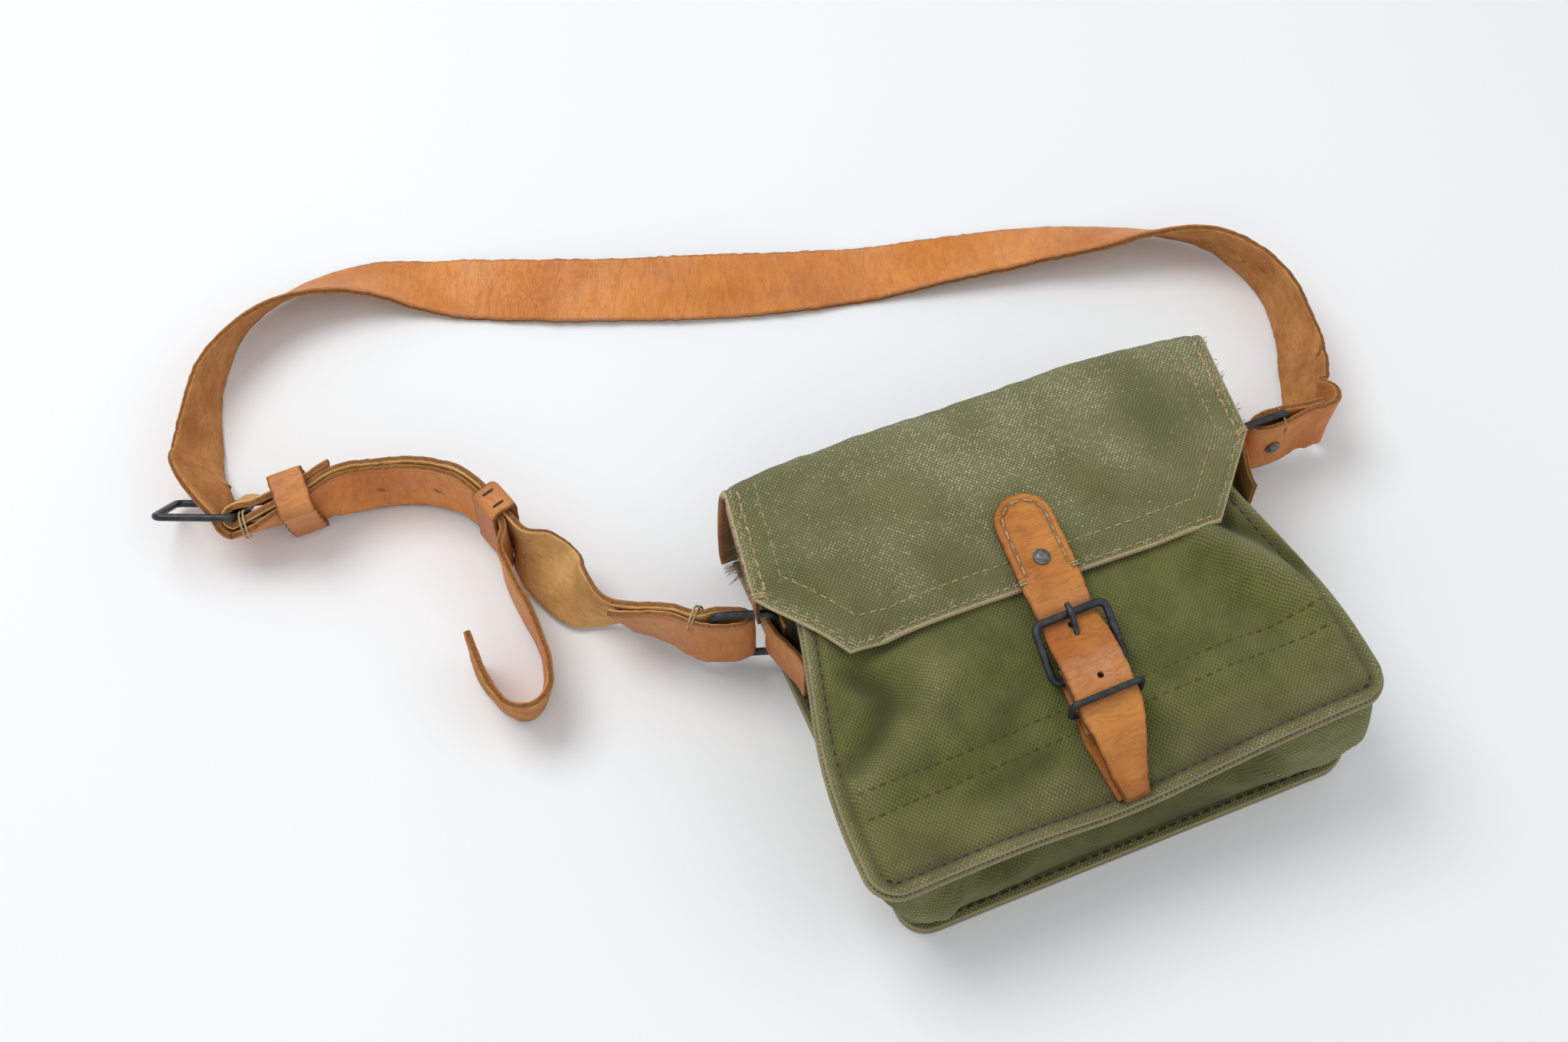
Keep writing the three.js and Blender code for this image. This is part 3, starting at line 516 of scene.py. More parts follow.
def leather_material(name, light, deep, flesh, flesh_dark, edge_colour, marks):
    """Waxed grain on one face, brushed flesh on the other, dark cut edges. marks is how dark specks are."""
    n = Nodes(name)
    x, y, side = n.attribute("layout")
    wear, dirt, edge = n.attribute("tone")
    place = n.join(x, y)
    cloud = n.noise(place, 0.011, 4, 0.65)
    pores = n.noise(place, 0.0007, 2)
    creases = n.noise(n.stretch(place, (1, 0.28, 1)), 0.0045, 5, 0.7, 0.8)
    lines = 1 - n.between(n.math("ABSOLUTE", creases - 0.5), 0.0, 0.035)
    grain = n.blend(n.between(n.noise(place, 0.045, 3, 0.6), 0.3, 0.72), light, deep)
    grain = n.blend(n.between(cloud, 0.5, 0.8) * 0.45, grain, darker(deep, 0.72))
    grain = n.blend(lines * 0.14, grain, darker(deep, 0.5))
    specks = n.between(n.noise(place, 0.0024, 2), 0.70, 0.78)
    grain = n.blend(specks * marks, grain, darker(deep, 0.3))
    grain = n.blend(wear * n.between(cloud, 0.3, 0.6), grain, tuple(mix(c, 0.8, 0.22) for c in light))
    fibre = n.noise(n.stretch(place, (0.35, 1, 1)), 0.0016, 5, 0.75)
    back = n.blend(n.between(n.noise(place, 0.02, 4, 0.7), 0.32, 0.68), flesh, flesh_dark)
    back = n.blend(n.between(fibre, 0.45, 0.75) * 0.6, back, darker(flesh_dark, 0.55))
    stains = n.between(n.noise(place, 0.009, 3, 0.6, 0.6), 0.66, 0.74)
    back = n.blend(stains * marks, back, darker(flesh_dark, 0.22))
    grain_side, flesh_side = n.between(side, 0.4, 0.75), n.between(side * -1, 0.4, 0.75)
    cut = n.noise(n.join(x, y, side * 0.002), 0.0012, 4, 0.7)
    rim = n.blend(n.between(cut, 0.35, 0.65), edge_colour, darker(edge_colour, 0.55))
    colour = n.blend(flesh_side, n.blend(grain_side, rim, grain), back)
    near_edge = (1 - n.between(edge, 0.0, 1.6)) * grain_side * 0.45
    colour = n.blend(near_edge, colour, darker(deep, 0.5))
    # Dirt darkens the colour; on the closure strap it also carries painted shade by the wire keeper and the
    # top bar, and on the shoulder strap painted shade in its holes.
    colour = n.blend(dirt, colour, darker(flesh_dark, 0.25))
    bare_side = 1 - grain_side
    rough = cloud * 0.25 + 0.38 + bare_side * 0.35
    pebbles = n.cells(place, 0.0011) * 0.5 + pores * 0.5
    height = (pebbles - lines * 0.7) * grain_side + (fibre + pores) * bare_side * 1.4
    normal = n.relief(cloud, 0.0008, 0.3, under=n.relief(height, 0.00022, 0.6))
    return n.finish(Base_Color=colour, Roughness=rough, Normal=normal, Specular_IOR_Level=0.28)


def wire_material():
    n = Nodes("blued wire")
    place = n.object_place()
    cloud = n.noise(place, 0.004, 4, 0.65)
    fine = n.noise(place, 0.0007, 3, 0.6)
    colour = n.blend(n.between(cloud, 0.35, 0.7), (0.016, 0.019, 0.024), (0.045, 0.05, 0.058))
    rust = n.between(n.noise(place, 0.003, 5, 0.7), 0.6, 0.72) * 0.5
    colour = n.blend(rust, colour, (0.075, 0.052, 0.036))
    normal = n.relief(cloud + fine, 0.0002, 0.5)
    return n.finish(Base_Color=colour, Metallic=0.55, Roughness=fine * 0.25 + 0.33, Normal=normal,
                    Coat_Weight=0.25, Coat_Roughness=0.3)


def rivet_material():
    n = Nodes("rivet metal")
    place = n.object_place()
    cloud = n.noise(place, 0.0016, 5, 0.7)
    colour = n.blend(n.between(cloud, 0.35, 0.65), (0.11, 0.105, 0.10), (0.21, 0.22, 0.24))
    normal = n.relief(cloud + n.noise(place, 0.0004, 2), 0.00015, 0.5)
    return n.finish(Base_Color=colour, Metallic=0.8, Roughness=cloud * 0.3 + 0.3, Normal=normal)


def thread_material(name, light, dark):
    n = Nodes(name)
    along, seed, _ = n.attribute("layout")
    twist = n.math("SINE", (along + seed) * 32)
    share = seed * 0.5 + n.noise(n.object_place(), 0.006, 3, 0.6) * 0.6
    # Painted shade in the grooves of the twist.
    colour = n.blend((1 - twist) * 0.18, n.blend(share, light, dark), darker(dark, 0.4))
    return n.finish(Base_Color=colour, Roughness=0.85, Normal=n.relief(twist, 0.00012, 0.7))


canvas = canvas_material(
    "green canvas", dark=(0.092, 0.098, 0.020), green=(0.176, 0.180, 0.044), worn=(0.40, 0.37, 0.19),
    stain_and_shade=(0.085, 0.072, 0.036), raw=(0.30, 0.25, 0.14), speckle=0.8)
flap_canvas = canvas_material(
    "faded canvas", dark=(0.104, 0.106, 0.026), green=(0.178, 0.174, 0.054), worn=(0.48, 0.45, 0.28),
    stain_and_shade=(0.100, 0.084, 0.044), raw=(0.52, 0.40, 0.22), speckle=1.02)
strap_leather = leather_material(
    "strap leather", light=(0.72, 0.265, 0.05), deep=(0.54, 0.165, 0.028), flesh=(0.58, 0.26, 0.08),
    flesh_dark=(0.38, 0.145, 0.038), edge_colour=(0.27, 0.11, 0.03), marks=0.6)
adjuster_leather = leather_material(
    "adjuster leather", light=(0.62, 0.235, 0.055), deep=(0.45, 0.14, 0.03), flesh=(0.74, 0.44, 0.17),
    flesh_dark=(0.58, 0.31, 0.10), edge_colour=(0.30, 0.13, 0.04), marks=0.45)
closure_leather = leather_material(
    "closure leather", light=(0.56, 0.222, 0.048), deep=(0.41, 0.128, 0.022), flesh=(0.46, 0.25, 0.11),
    flesh_dark=(0.24, 0.105, 0.04), edge_colour=(0.16, 0.065, 0.025), marks=0.3)
# Dirty leather, greyed and darkened further with painted shade for where it lies under the flap.
dirty_shaded_ear_leather = leather_material(
    "ear leather", light=(0.40, 0.17, 0.09), deep=(0.20, 0.10, 0.07), flesh=(0.28, 0.17, 0.12),
    flesh_dark=(0.14, 0.08, 0.05), edge_colour=(0.12, 0.06, 0.03), marks=0.4)
blued_wire = wire_material()
rivet_metal = rivet_material()
tan_thread = thread_material("tan thread", (0.55, 0.42, 0.22), (0.34, 0.23, 0.10))
olive_thread = thread_material("olive thread", (0.19, 0.125, 0.035), (0.07, 0.052, 0.018))
dark_thread = thread_material("dark thread", (0.055, 0.05, 0.024), (0.024, 0.024, 0.013))


# Panels. Their outlines and dents are shares of the bag's sizes

FRONT_OUTLINE = (  # up, middle, half width
    (0.00, -0.061, 0.502), (0.18, -0.062, 0.502), (0.33, -0.061, 0.488), (0.50, -0.056, 0.456),
    (0.62, -0.054, 0.432), (0.80, -0.040, 0.418), (1.00, -0.028, 0.415),
)
BACK_OUTLINE = (  # up, middle, half width
    (0.00, -0.030, 0.462), (0.15, -0.010, 0.485), (0.40, 0.000, 0.495), (1.00, 0.000, 0.497),
)
MOUTH = 0.95
BOTTOM_LEFT, BOTTOM_RIGHT, TOP_LEFT, TOP_RIGHT = 0.90, 1.10, 1.05, 0.93
CROWN = 0.10
DENTS = (  # x, y, across, along, turn, height
    (-0.36, 0.03, 0.07, 0.13, -35, -0.075),
    (-0.41, 0.10, 0.06, 0.12, -40, 0.055),
    (-0.16, -0.40, 0.05, 0.20, 70, -0.045),
    (0.33, -0.13, 0.05, 0.16, -150, 0.060),
    (0.27, -0.19, 0.05, 0.15, -150, -0.050),
    (-0.05, -0.12, 0.16, 0.22, 0, -0.040),
    (-0.02, -0.46, 0.20, 0.12, 0, -0.120),
)
FOLDS = (  # height, width, places along it in millimetres: sharper folds than the solid has
    (-5.0, 6.0, ((-92, -6), (-84, -17), (-93, -30), (-108, -40))),
    (4.2, 9.0, ((-62, -19), (-74, -35), (-95, -44), (-108, -46))),
    (4.6, 6.0, ((58, 2), (69, -16), (80, -34), (86, -47))),
    (-4.0, 5.5, ((66, 5), (82, -12), (90, -30))),
    (1.9, 4.5, ((-70, -78), (-34, -75), (-4, -71))),
    (-1.8, 5.0, ((-72, -68), (-36, -65), (-4, -60))),
    (-1.6, 6.0, ((-35, -37), (-54, -50), (-77, -58))),
    (1.5, 6.0, ((14, -62), (50, -57), (84, -62))),
)
SEAM_INSET = 4.8
ROW_Y, ROW_GAP, ROW_SLANT = -50, 9.8, 0.012

CORNER_RISES = CORNER_RADIUS * (1 - np.cos(np.radians(np.linspace(0, 90, 11))))
CORNER_SHARE = 0.075
RISES = np.concatenate([CORNER_RISES, np.linspace(CORNER_SHARE, MOUTH, 84) * BAG_HEIGHT])
ACROSS = np.linspace(-1, 1, 121)


def front_top(x, y):
    t = y / BAG_HEIGHT + 0.5
    at = np.clip(t, 0, 1)
    s = (x / BAG_WIDTH - read(FRONT_OUTLINE, at, 1)) / read(FRONT_OUTLINE, at, 2)
    inside = np.maximum(1 - s * s, -0.4) * np.maximum(1 - (2 * t - 1) ** 2, 0)
    height = mix(mix(BOTTOM_LEFT, TOP_LEFT, t), mix(BOTTOM_RIGHT, TOP_RIGHT, t), (s + 1) / 2) + CROWN * inside
    for dent_x, dent_y, wide, long, angle, depth in DENTS:
        dx, dy = x / BAG_WIDTH - dent_x, y / BAG_WIDTH - dent_y
        c, z = turned(angle)
        height = height + depth * np.exp(-((dx * c + dy * z) / wide) ** 2 - ((dy * c - dx * z) / long) ** 2)
    return height * BAG_DEPTH


def panel_lines(outline, rise):
    """Middle and half width of a panel at a height up it, with its lower corners rounded."""
    inset = CORNER_RADIUS - np.sqrt(CORNER_RADIUS ** 2 - np.maximum(CORNER_RADIUS - rise, 0) ** 2)
    t = rise / BAG_HEIGHT
    return read(outline, t, 1) * BAG_WIDTH, read(outline, t, 2) * BAG_WIDTH - inset


def panel_point(outline, s, rise):
    """Places of a panel by share across and height up it."""
    s, rise = np.broadcast_arrays(np.asarray(s, float), np.asarray(rise, float))
    middle, half = panel_lines(outline, rise)
    return middle + s * half, rise - BAG_HEIGHT / 2, half


def front_folds(x, y):
    """Height of the folds, how much of it is valley and how much ridge. None runs under the closure."""
    total, valley, ridge = 0 * x, 0 * x, 0 * x
    for height, width, places in FOLDS:
        near = np.full(np.shape(x), 1e6)
        for (ax, ay), (bx, by) in zip(places[:-1], places[1:]):
            along = (x - ax) * (bx - ax) + (y - ay) * (by - ay)
            u = np.clip(along / ((bx - ax) ** 2 + (by - ay) ** 2), 0, 1)
            near = np.minimum(near, np.hypot(x - mix(ax, bx, u), y - mix(ay, by, u)))
        share = bump(near, width)
        strength = min(abs(height) / 4, 1) * share
        total = total + height * share
        valley = np.maximum(valley, strength * (height < 0))
        ridge = np.maximum(ridge, strength * (height > 0))
    free = ease(np.abs(x - closure_x(y)), 15, 26)
    return total * free, valley * free, ridge * free


def row_y(x, k):
    """The two rows of stitches across the lower half of the front panel."""
    return ROW_Y - ROW_GAP * k + ROW_SLANT * x


def front_height(x, y, half, s, rise):
    """Top of the front panel with its rolled edge, grooves and wrinkles, and the distance from the edge."""
    edge = np.minimum(half * (1 - np.abs(s)), np.maximum(rise, 0))
    roll = 0.9 * bump(edge - 1.6, 1.8) - 1.3 * bump(edge - SEAM_INSET, 1.2) + 0.7 * bump(edge - 8.5, 2.2)
    pucker = 0.35 * ripple(x, y, 6, 3) * bump(edge - 8, 7)
    away = ease(edge, 4, 22)
    waves = away * (0.55 * ripple(x, y * 1.6, 34, 5) + 0.16 * ripple(x, y, 11, 6))
    rows = sum(-0.45 * bump(y - row_y(x, k), 1.0) for k in range(2)) * away
    folds = front_folds(x, y)[0] * ease(edge, 3, 9)
    return front_top(x, y) + roll + pucker + waves + rows + folds, edge


def build_front():
    s, rise = np.meshgrid(ACROSS, RISES)
    x, y, half = panel_point(FRONT_OUTLINE, s, rise)
    z, edge = front_height(x, y, half, s, rise)
    middle = np.stack([x, y, z - CANVAS / 2], -1)
    wear = 0.75 * bump(edge - 1.2, 2.6) + 0.30 * bump(y - 6, 26) * bump(x + 50, 60)
    wear += 0.35 * bump(edge - 10, 7) * (0.5 + 0.5 * ripple(x, y, 30, 8)) + 0.2 * ease(-y, 50, 85)
    dirt = 0.75 * bump(edge - SEAM_INSET, 1.3) + 0.5 * ease(-y, 58, 85) * (0.6 + 0.4 * ripple(x, y, 40, 9))
    _, valley, ridge = front_folds(x, y)
    # Ridges of the folds add wear; the valleys take wear below 0 and add a little dirt, both of which paint
    # shade into the valleys.
    tone = np.stack([wear + 0.5 * ridge - 0.8 * valley, dirt + 0.1 * valley, edge], -1)
    body = slab(middle, CANVAS + 0.7 * bump(edge, 2.5), UP, tone=tone)
    front = piece("front_cloth", body, canvas, "front_panel")
    canvas_sheet(middle)


def build_back():
    rises = np.concatenate([CORNER_RISES, np.linspace(CORNER_SHARE, 1, 50) * BAG_HEIGHT])
    s, rise = np.meshgrid(np.linspace(-1, 1, 81), rises)
    x, y, half = panel_point(BACK_OUTLINE, s, rise)
    edge = np.minimum(half * (1 - np.abs(s)), rise)
    middle = np.stack([x, y, np.full_like(x, CANVAS / 2)], -1)
    wear = 0.7 * bump(edge - 1, 2.5) + 0.2 + 0.2 * ripple(x, y, 50, 12)
    body = slab(middle, CANVAS, UP, tone=np.stack([wear, 0.8 * bump(edge - 4, 2.0), edge], -1))
    back = piece("back_cloth", body, canvas, "back_panel")
    canvas_sheet(middle)


def canvas_sheet(middle):
    """Works out the diagonals of the cells of a canvas piece's middle grid, and keeps nothing of them."""
    a, b = middle[1:, 1:] - middle[:-1, :-1], middle[1:, :-1] - middle[:-1, 1:]


# Gusset. Places along it run from 0 to 1 down the left side, to 2 across the bottom and to 3 up the right

GUSSET_FOLDS = (  # along, and how far out the wall is low, half way and high
    (0.00, 0.02, 0.01, 0.00),
    (0.60, 0.03, 0.02, 0.01),
    (0.90, 0.05, 0.06, 0.03),
    (1.05, 0.05, 0.08, 0.04),
    (1.20, 0.00, -0.16, -0.12),
    (1.45, -0.10, -0.38, -0.24),
    (1.70, -0.06, -0.22, -0.16),
    (1.88, 0.06, 0.08, 0.06),
    (2.10, 0.08, 0.12, 0.08),
    (2.50, 0.13, 0.14, 0.07),
    (3.00, 0.11, 0.12, 0.06),
)
GUSSET_CREASES = (  # along, how high up, length, breadth, millimetres out
    (1.06, 0.45, 0.05, 0.22, 4.5), (1.30, 0.60, 0.05, 0.3, 3.5),
    (1.55, 0.66, 0.09, 0.10, 4.0), (1.84, 0.5, 0.05, 0.25, 5.5),
)
FLANGE_Z = CANVAS * 1.5 + CLEARANCE
FLANGE_INSETS = (0, 1.2, 2.6, 4.2)


def edge_line(outline, inset=0.0):
    """Places round a panel from its left end down, across the bottom and up the right, and their way out."""
    parts = ((-1, RISES[:0:-1]), (ACROSS, 0.0), (1, RISES[1:]))
    xy = np.concatenate([np.stack(panel_point(outline, s, rise)[:2], -1) for s, rise in parts])
    along = np.gradient(xy, axis=0)
    out = unit(np.stack([along[:, 1], -along[:, 0]], -1))
    return xy - out * inset, out


def under_front(xy):
    return front_top(xy[:, 0], xy[:, 1]) - CANVAS * 1.5 - 3 * CLEARANCE


def build_gusset():
    side = np.arange(len(RISES) - 1) / (len(RISES) - 1)
    share = np.concatenate([side, np.linspace(1, 2, len(ACROSS)), 3 - side[::-1]])
    back, back_out = edge_line(BACK_OUTLINE)
    front, front_out = edge_line(FRONT_OUTLINE)
    base, top = back - back_out * SEAM_FLANGE, front - front_out * SEAM_FLANGE
    length = travel(back)
    bulge = read(GUSSET_FOLDS, share, 2)
    outs = np.array([read(GUSSET_FOLDS, share, k) * BAG_DEPTH if k else 0 * share for k in (0, 1, 2, 3, 0)])
    slopes = np.gradient(outs, axis=0)
    rows, edges, walls = [], [], []

    def add(xy, z, edge, wall):
        rows.append(np.column_stack([xy, z + 0 * length]))
        edges.append(edge)
        walls.append(wall)

    for inset in FLANGE_INSETS:
        add(back - back_out * inset, FLANGE_Z, inset, 0.0)
    for h in np.linspace(0, 1, 41):
        i = min(int(h * 4), 3)
        out = outs[i] + bent(h * 4 - i, outs[i + 1] - outs[i], slopes[i], slopes[i + 1])
        height = h * BAG_DEPTH + 0 * length
        loose = 1.5 * ripple(length, height, 42, 21) + 0.6 * ripple(length, height * 1.5, 16, 22)
        out = out + math.sin(math.pi * h) ** 0.7 * loose
        for along, middle, wide, tall, size in GUSSET_CREASES:
            out = out + size * bump(share - along - 0.18 * (h - middle), wide) * bump(h - middle, tall)
        way = unit(mix(back_out, front_out, h))
        xy = mix(base, top, h) + way * out[:, None]
        add(xy, mix(FLANGE_Z, under_front(top), h), 20 * min(h, 1 - h) + 6, h)
    for inset in (*FLANGE_INSETS[:0:-1], -1.3):
        covered = under_front(front - front_out * max(inset, 0))
        add(front - front_out * inset, covered - 0.25 * (6 - inset) / 6, max(inset, 0), 1.0)
    middle = np.stack(rows, 1)
    h, edge, along, bulge = np.broadcast_arrays(walls, edges, length[:, None], bulge[:, None])
    flat = np.stack([along, h * BAG_DEPTH - edge * (edge < 6) * np.where(h < 0.5, 1, -1)], -1)
    inside = np.sin(np.pi * h)
    wear = 0.8 * bump(edge, 3) + 0.5 * ease(bulge, 0.0, 0.12) * inside * (share[:, None] > 0.95)
    wear = wear + 0.18 + 0.15 * ripple(along, h * 66, 26, 23)
    # The seam line is darker with dirt; the darkening where the wall caves in is painted shade.
    dirt = 0.75 * bump(edge - 5, 1.6) + 0.45 * ease(-bulge, 0.05, 0.3) * inside
    gusset = piece("gusset_cloth", slab(middle, CANVAS, flat=flat, tone=np.stack([wear, dirt, edge], -1)),
                   canvas, "gusset")
    canvas_sheet(middle)


# Flap

HINGE = BAG_HEIGHT / 2 + CLEARANCE
FLAP_RISE = (  # height, out
    (0.02, 0), (0.06, 0.035), (0.20, 0.055), (0.42, 0.060), (0.66, 0.050), (0.86, 0.028), (0.965, -0.005),
)
RISE_ROWS = 34
FLAP_MIDDLE = ((0, -0.005), (0.55, -0.036), (1, -0.058))
FLAP_SLANT = 0.03
FLAP_EASE = 7
FLAP_START = 0.05
EAR_END = 0.587
BEVEL_FROM = FLAP_REACH - FLAP_BEVEL
FLAP_SEAM, FLAP_ROW = 2.8, 13.2


def flap_under(x, y):
    steps = (-FLAP_EASE, 0, FLAP_EASE)
    return np.max([front_top(x + dx, y + dy) for dx in steps for dy in steps], axis=0) + 2 * CLEARANCE


def flap_half(down):
    return FLAP_WIDTH / 2 - np.maximum(down * FLAP_REACH - BEVEL_FROM, 0) / FLAP_BEVEL * FLAP_BEVEL_RUN


def flap_front(s, down):
    x = read(FLAP_MIDDLE, down) * BAG_WIDTH + s * flap_half(down)
    y = BAG_HEIGHT / 2 - 1 - down * FLAP_REACH - FLAP_SLANT * down * x
    return np.stack([x, y, flap_under(x, y) + FLAP_CANVAS / 2], -1)


def flap_edge(s, down):
    tilt = np.where(down * FLAP_REACH > BEVEL_FROM, math.cos(math.atan2(FLAP_BEVEL_RUN, FLAP_BEVEL)), 1)
    return np.minimum(flap_half(down) * (1 - np.abs(s)) * tilt, (1 - down) * FLAP_REACH)


def flap_row(out, height, s):
    """The flap across its rise behind the bag's top edge."""
    fold = flap_front(s, np.full_like(s, FLAP_START))
    droop = 0.06 * s ** 6
    y = HINGE + (out - droop * height) * BAG_DEPTH
    z = FLAP_CANVAS / 2 + height * (1 - droop) * (fold[:, 2] - FLAP_CANVAS / 2)
    return np.stack([fold[:, 0], y, z], -1)


def build_flap():
    s = np.linspace(-1, 1, 141)
    centre = len(s) // 2
    heights = np.linspace(FLAP_RISE[0][0], FLAP_RISE[-1][0], RISE_ROWS)
    outs = read(FLAP_RISE, heights)
    outs[-3:] += 0.004
    grid_s, grid_down = np.meshgrid(s, np.linspace(FLAP_START, 1, 66))
    rise = [flap_row(out, height, s) for out, height in zip(outs, heights)]
    middle = np.concatenate([rise, flap_front(grid_s, grid_down)])
    low, high = RISE_ROWS - 3, RISE_ROWS + 4
    for _ in range(3):
        bend = middle[low - 1:high + 1]
        middle[low:high] = (bend[:-2] + 2 * bend[1:-1] + bend[2:]) / 4
    normals = grid_normals(middle)
    normals *= np.sign(normals[-1, centre, 2])
    risen = np.broadcast_to(flap_half(0) * (1 - np.abs(s)), (RISE_ROWS, len(s)))
    edge = np.concatenate([risen, flap_edge(grid_s, grid_down)])
    length = travel(middle[:, centre])[:, None] + 0 * edge
    x = middle[..., 0]
    shift = ease(edge, 5, 30) * (0.45 * ripple(x, length, 38, 31) + 0.12 * ripple(x, length, 10, 32))
    shift += 0.15 * bump(edge - 8, 3) - 0.35 * bump(edge - FLAP_SEAM, 0.9) - 0.3 * bump(edge - FLAP_ROW, 0.9)
    shift += 0.2 * ripple(x, length, 7, 33) * bump(edge - 8, 6)
    middle = middle + normals * shift[..., None]
    wear = 0.34 + 0.42 * bump(length - 88, 34) * ease(x, -150, 0) + 0.14 * ripple(x, length, 46, 34)
    wear += 0.55 * bump(edge, 1.6) - 0.30 * bump(x - 68, 26) * bump(length - 105, 24)
    rubs = ease(ripple(x, length, 4.5, 36), 0.35, 1.0)
    wear += rubs * (0.8 * bump(edge - 3, 1.8) + 0.6 * bump(edge - FLAP_ROW, 1.4))
    wear += 0.5 * (x < 0) * bump(edge, 5) * (0.4 + rubs)
    dirt = 0.25 * ease(length, 128, 165) * (0.6 + 0.4 * ripple(x, length, 40, 35))
    bound = (np.arange(len(middle)) < RISE_ROWS - 2)[:, None] * (s < 0) * bump(edge, 3)
    tone = np.stack([np.clip(wear, 0, 1), dirt - 2 * bound, edge], -1)
    body = slab(middle, FLAP_CANVAS, normals, np.stack([x, length], -1), 0.9, tone)
    flap = piece("flap_cloth", body, flap_canvas, "flap")
    canvas_sheet(middle)


def strip(name, middle, thickness, width, material, replaced, flip=False, wear=0.0, dirt=0.0):
    """A strip of dark leather from a grid of middle points. Its grain is on the normal's side."""
    along = travel(middle.mean(1))[:, None]
    across = np.linspace(-0.5, 0.5, middle.shape[1])[None] * width
    along, across = np.broadcast_arrays(along, across)
    edge = np.minimum(width / 2 - np.abs(across), np.minimum(along, along[-1, 0] - along))
    tone = np.stack([wear + 0 * edge, dirt + 0 * edge, edge], -1)
    body = slab(middle, thickness, None, np.stack([along, across], -1), 0.5, tone)
    if flip:
        body[2][:, 2] *= -1
    piece(name, body, material, replaced)


def build_ears():
    fall = np.linspace(0, 1, 9)
    for name, side in (("left", -1), ("right", 1)):
        rows = []
        for down in np.linspace(FLAP_START, EAR_END, 34):
            flap_x, y, _ = flap_front(side, down)
            outer = flap_x - side * EAR_LEATHER
            top = outer - side * np.array([*np.linspace(EAR_WIDTH, 1.5, 6), 0.5])
            x = np.concatenate([top, outer + side * (0.5 * np.sin(3 * fall) - fall)])
            z = flap_under(x, y) - 2 * CLEARANCE - EAR_LEATHER / 2
            corner = flap_under(outer, y) - 2 * CLEARANCE - EAR_LEATHER / 2
            z[6:] = corner - np.array([0.5, *(1.5 + fall * (EAR_DROP - 1.5))])
            rows.append(np.column_stack([x, y + 0 * x, z]))
        strip(f"ear_{name}", np.array(rows), EAR_LEATHER, EAR_WIDTH + EAR_DROP, dirty_shaded_ear_leather,
              f"flap_ear_{name}", flip=side > 0, wear=0.15)


# Closure

CLOSURE_MIDDLE = -0.038
CLOSURE_SLANT = 0.06
CLOSURE_HALF = CLOSURE_WIDTH / 2
HEEL_Y = -42
BAR_RADIUS = BUCKLE_WIRE / 2
FOLD_RADIUS = BAR_RADIUS + 2 * CLEARANCE + CHAPE_LEATHER / 2
CHAPE_BOTTOM = CLEARANCE + CHAPE_LEATHER / 2
HEEL_LIFT = CHAPE_BOTTOM + FOLD_RADIUS
TOP_Y = HEEL_Y + BUCKLE_LENGTH
LOOP_TOP = HEEL_LIFT + FOLD_RADIUS + CHAPE_LEATHER / 2
ON_FLAP = 3 * CLEARANCE + FLAP_CANVAS + 1.2
TOP_BAR_UNDER = 5
TOP_BAR_LIFT = TOP_BAR_UNDER + CLOSURE_LEATHER + 3 * CLEARANCE + BAR_RADIUS
CLOSURE_TOP = HEEL_Y + 80
TAPER = 30
SEAM_RUN = 36
SEAM_HALF = CLOSURE_HALF - 3.4
OVER_LOOP = LOOP_TOP + 2 * CLEARANCE
BILLET_LIFT = (  # place, lift
    (HEEL_Y - 50, CLEARANCE * 2 + CHAPE_LEATHER + 0.9),
    (HEEL_Y - 39, CLEARANCE * 2 + CHAPE_LEATHER + 1.1),
    (HEEL_Y - 28, OVER_LOOP - 0.3),
    (HEEL_Y - 24, OVER_LOOP + 0.2),
    (HEEL_Y, OVER_LOOP),
    (TOP_Y, TOP_BAR_UNDER),
    (TOP_Y + 9, ON_FLAP + 0.6),
    (TOP_Y + 16, ON_FLAP),
    (CLOSURE_TOP, ON_FLAP),
)
PUNCHES = ((HEEL_Y - 6, 0.5, 2.6), (TOP_Y - 4, 0, 3.4))  # place, across, diameter


def closure_x(y):
    return CLOSURE_MIDDLE * BAG_WIDTH + CLOSURE_SLANT * y


def over_front(y, lift, x=0.0):
    """A place above the front panel, x millimetres beside the middle of the closure."""
    y = np.asarray(y, float)
    across = closure_x(y) + x
    return np.stack([across, y + 0 * across, front_top(across, y) + lift], -1)


def billet_half(y):
    half = CLOSURE_HALF - 0.9 * bump(y - HEEL_Y - 26, 9)
    from_top, from_tip = CLOSURE_TOP - y, y - (CLOSURE_TOP - CLOSURE_LENGTH)
    if from_top < half:
        return max(math.sqrt(half ** 2 - (half - from_top) ** 2), 1.5)
    return mix(CLOSURE_TIP / 2, half, min(from_tip / TAPER, 1))


def billet_point(y, across):
    return over_front(y, read(BILLET_LIFT, np.asarray(y, float)) + CLOSURE_LEATHER / 2, across)


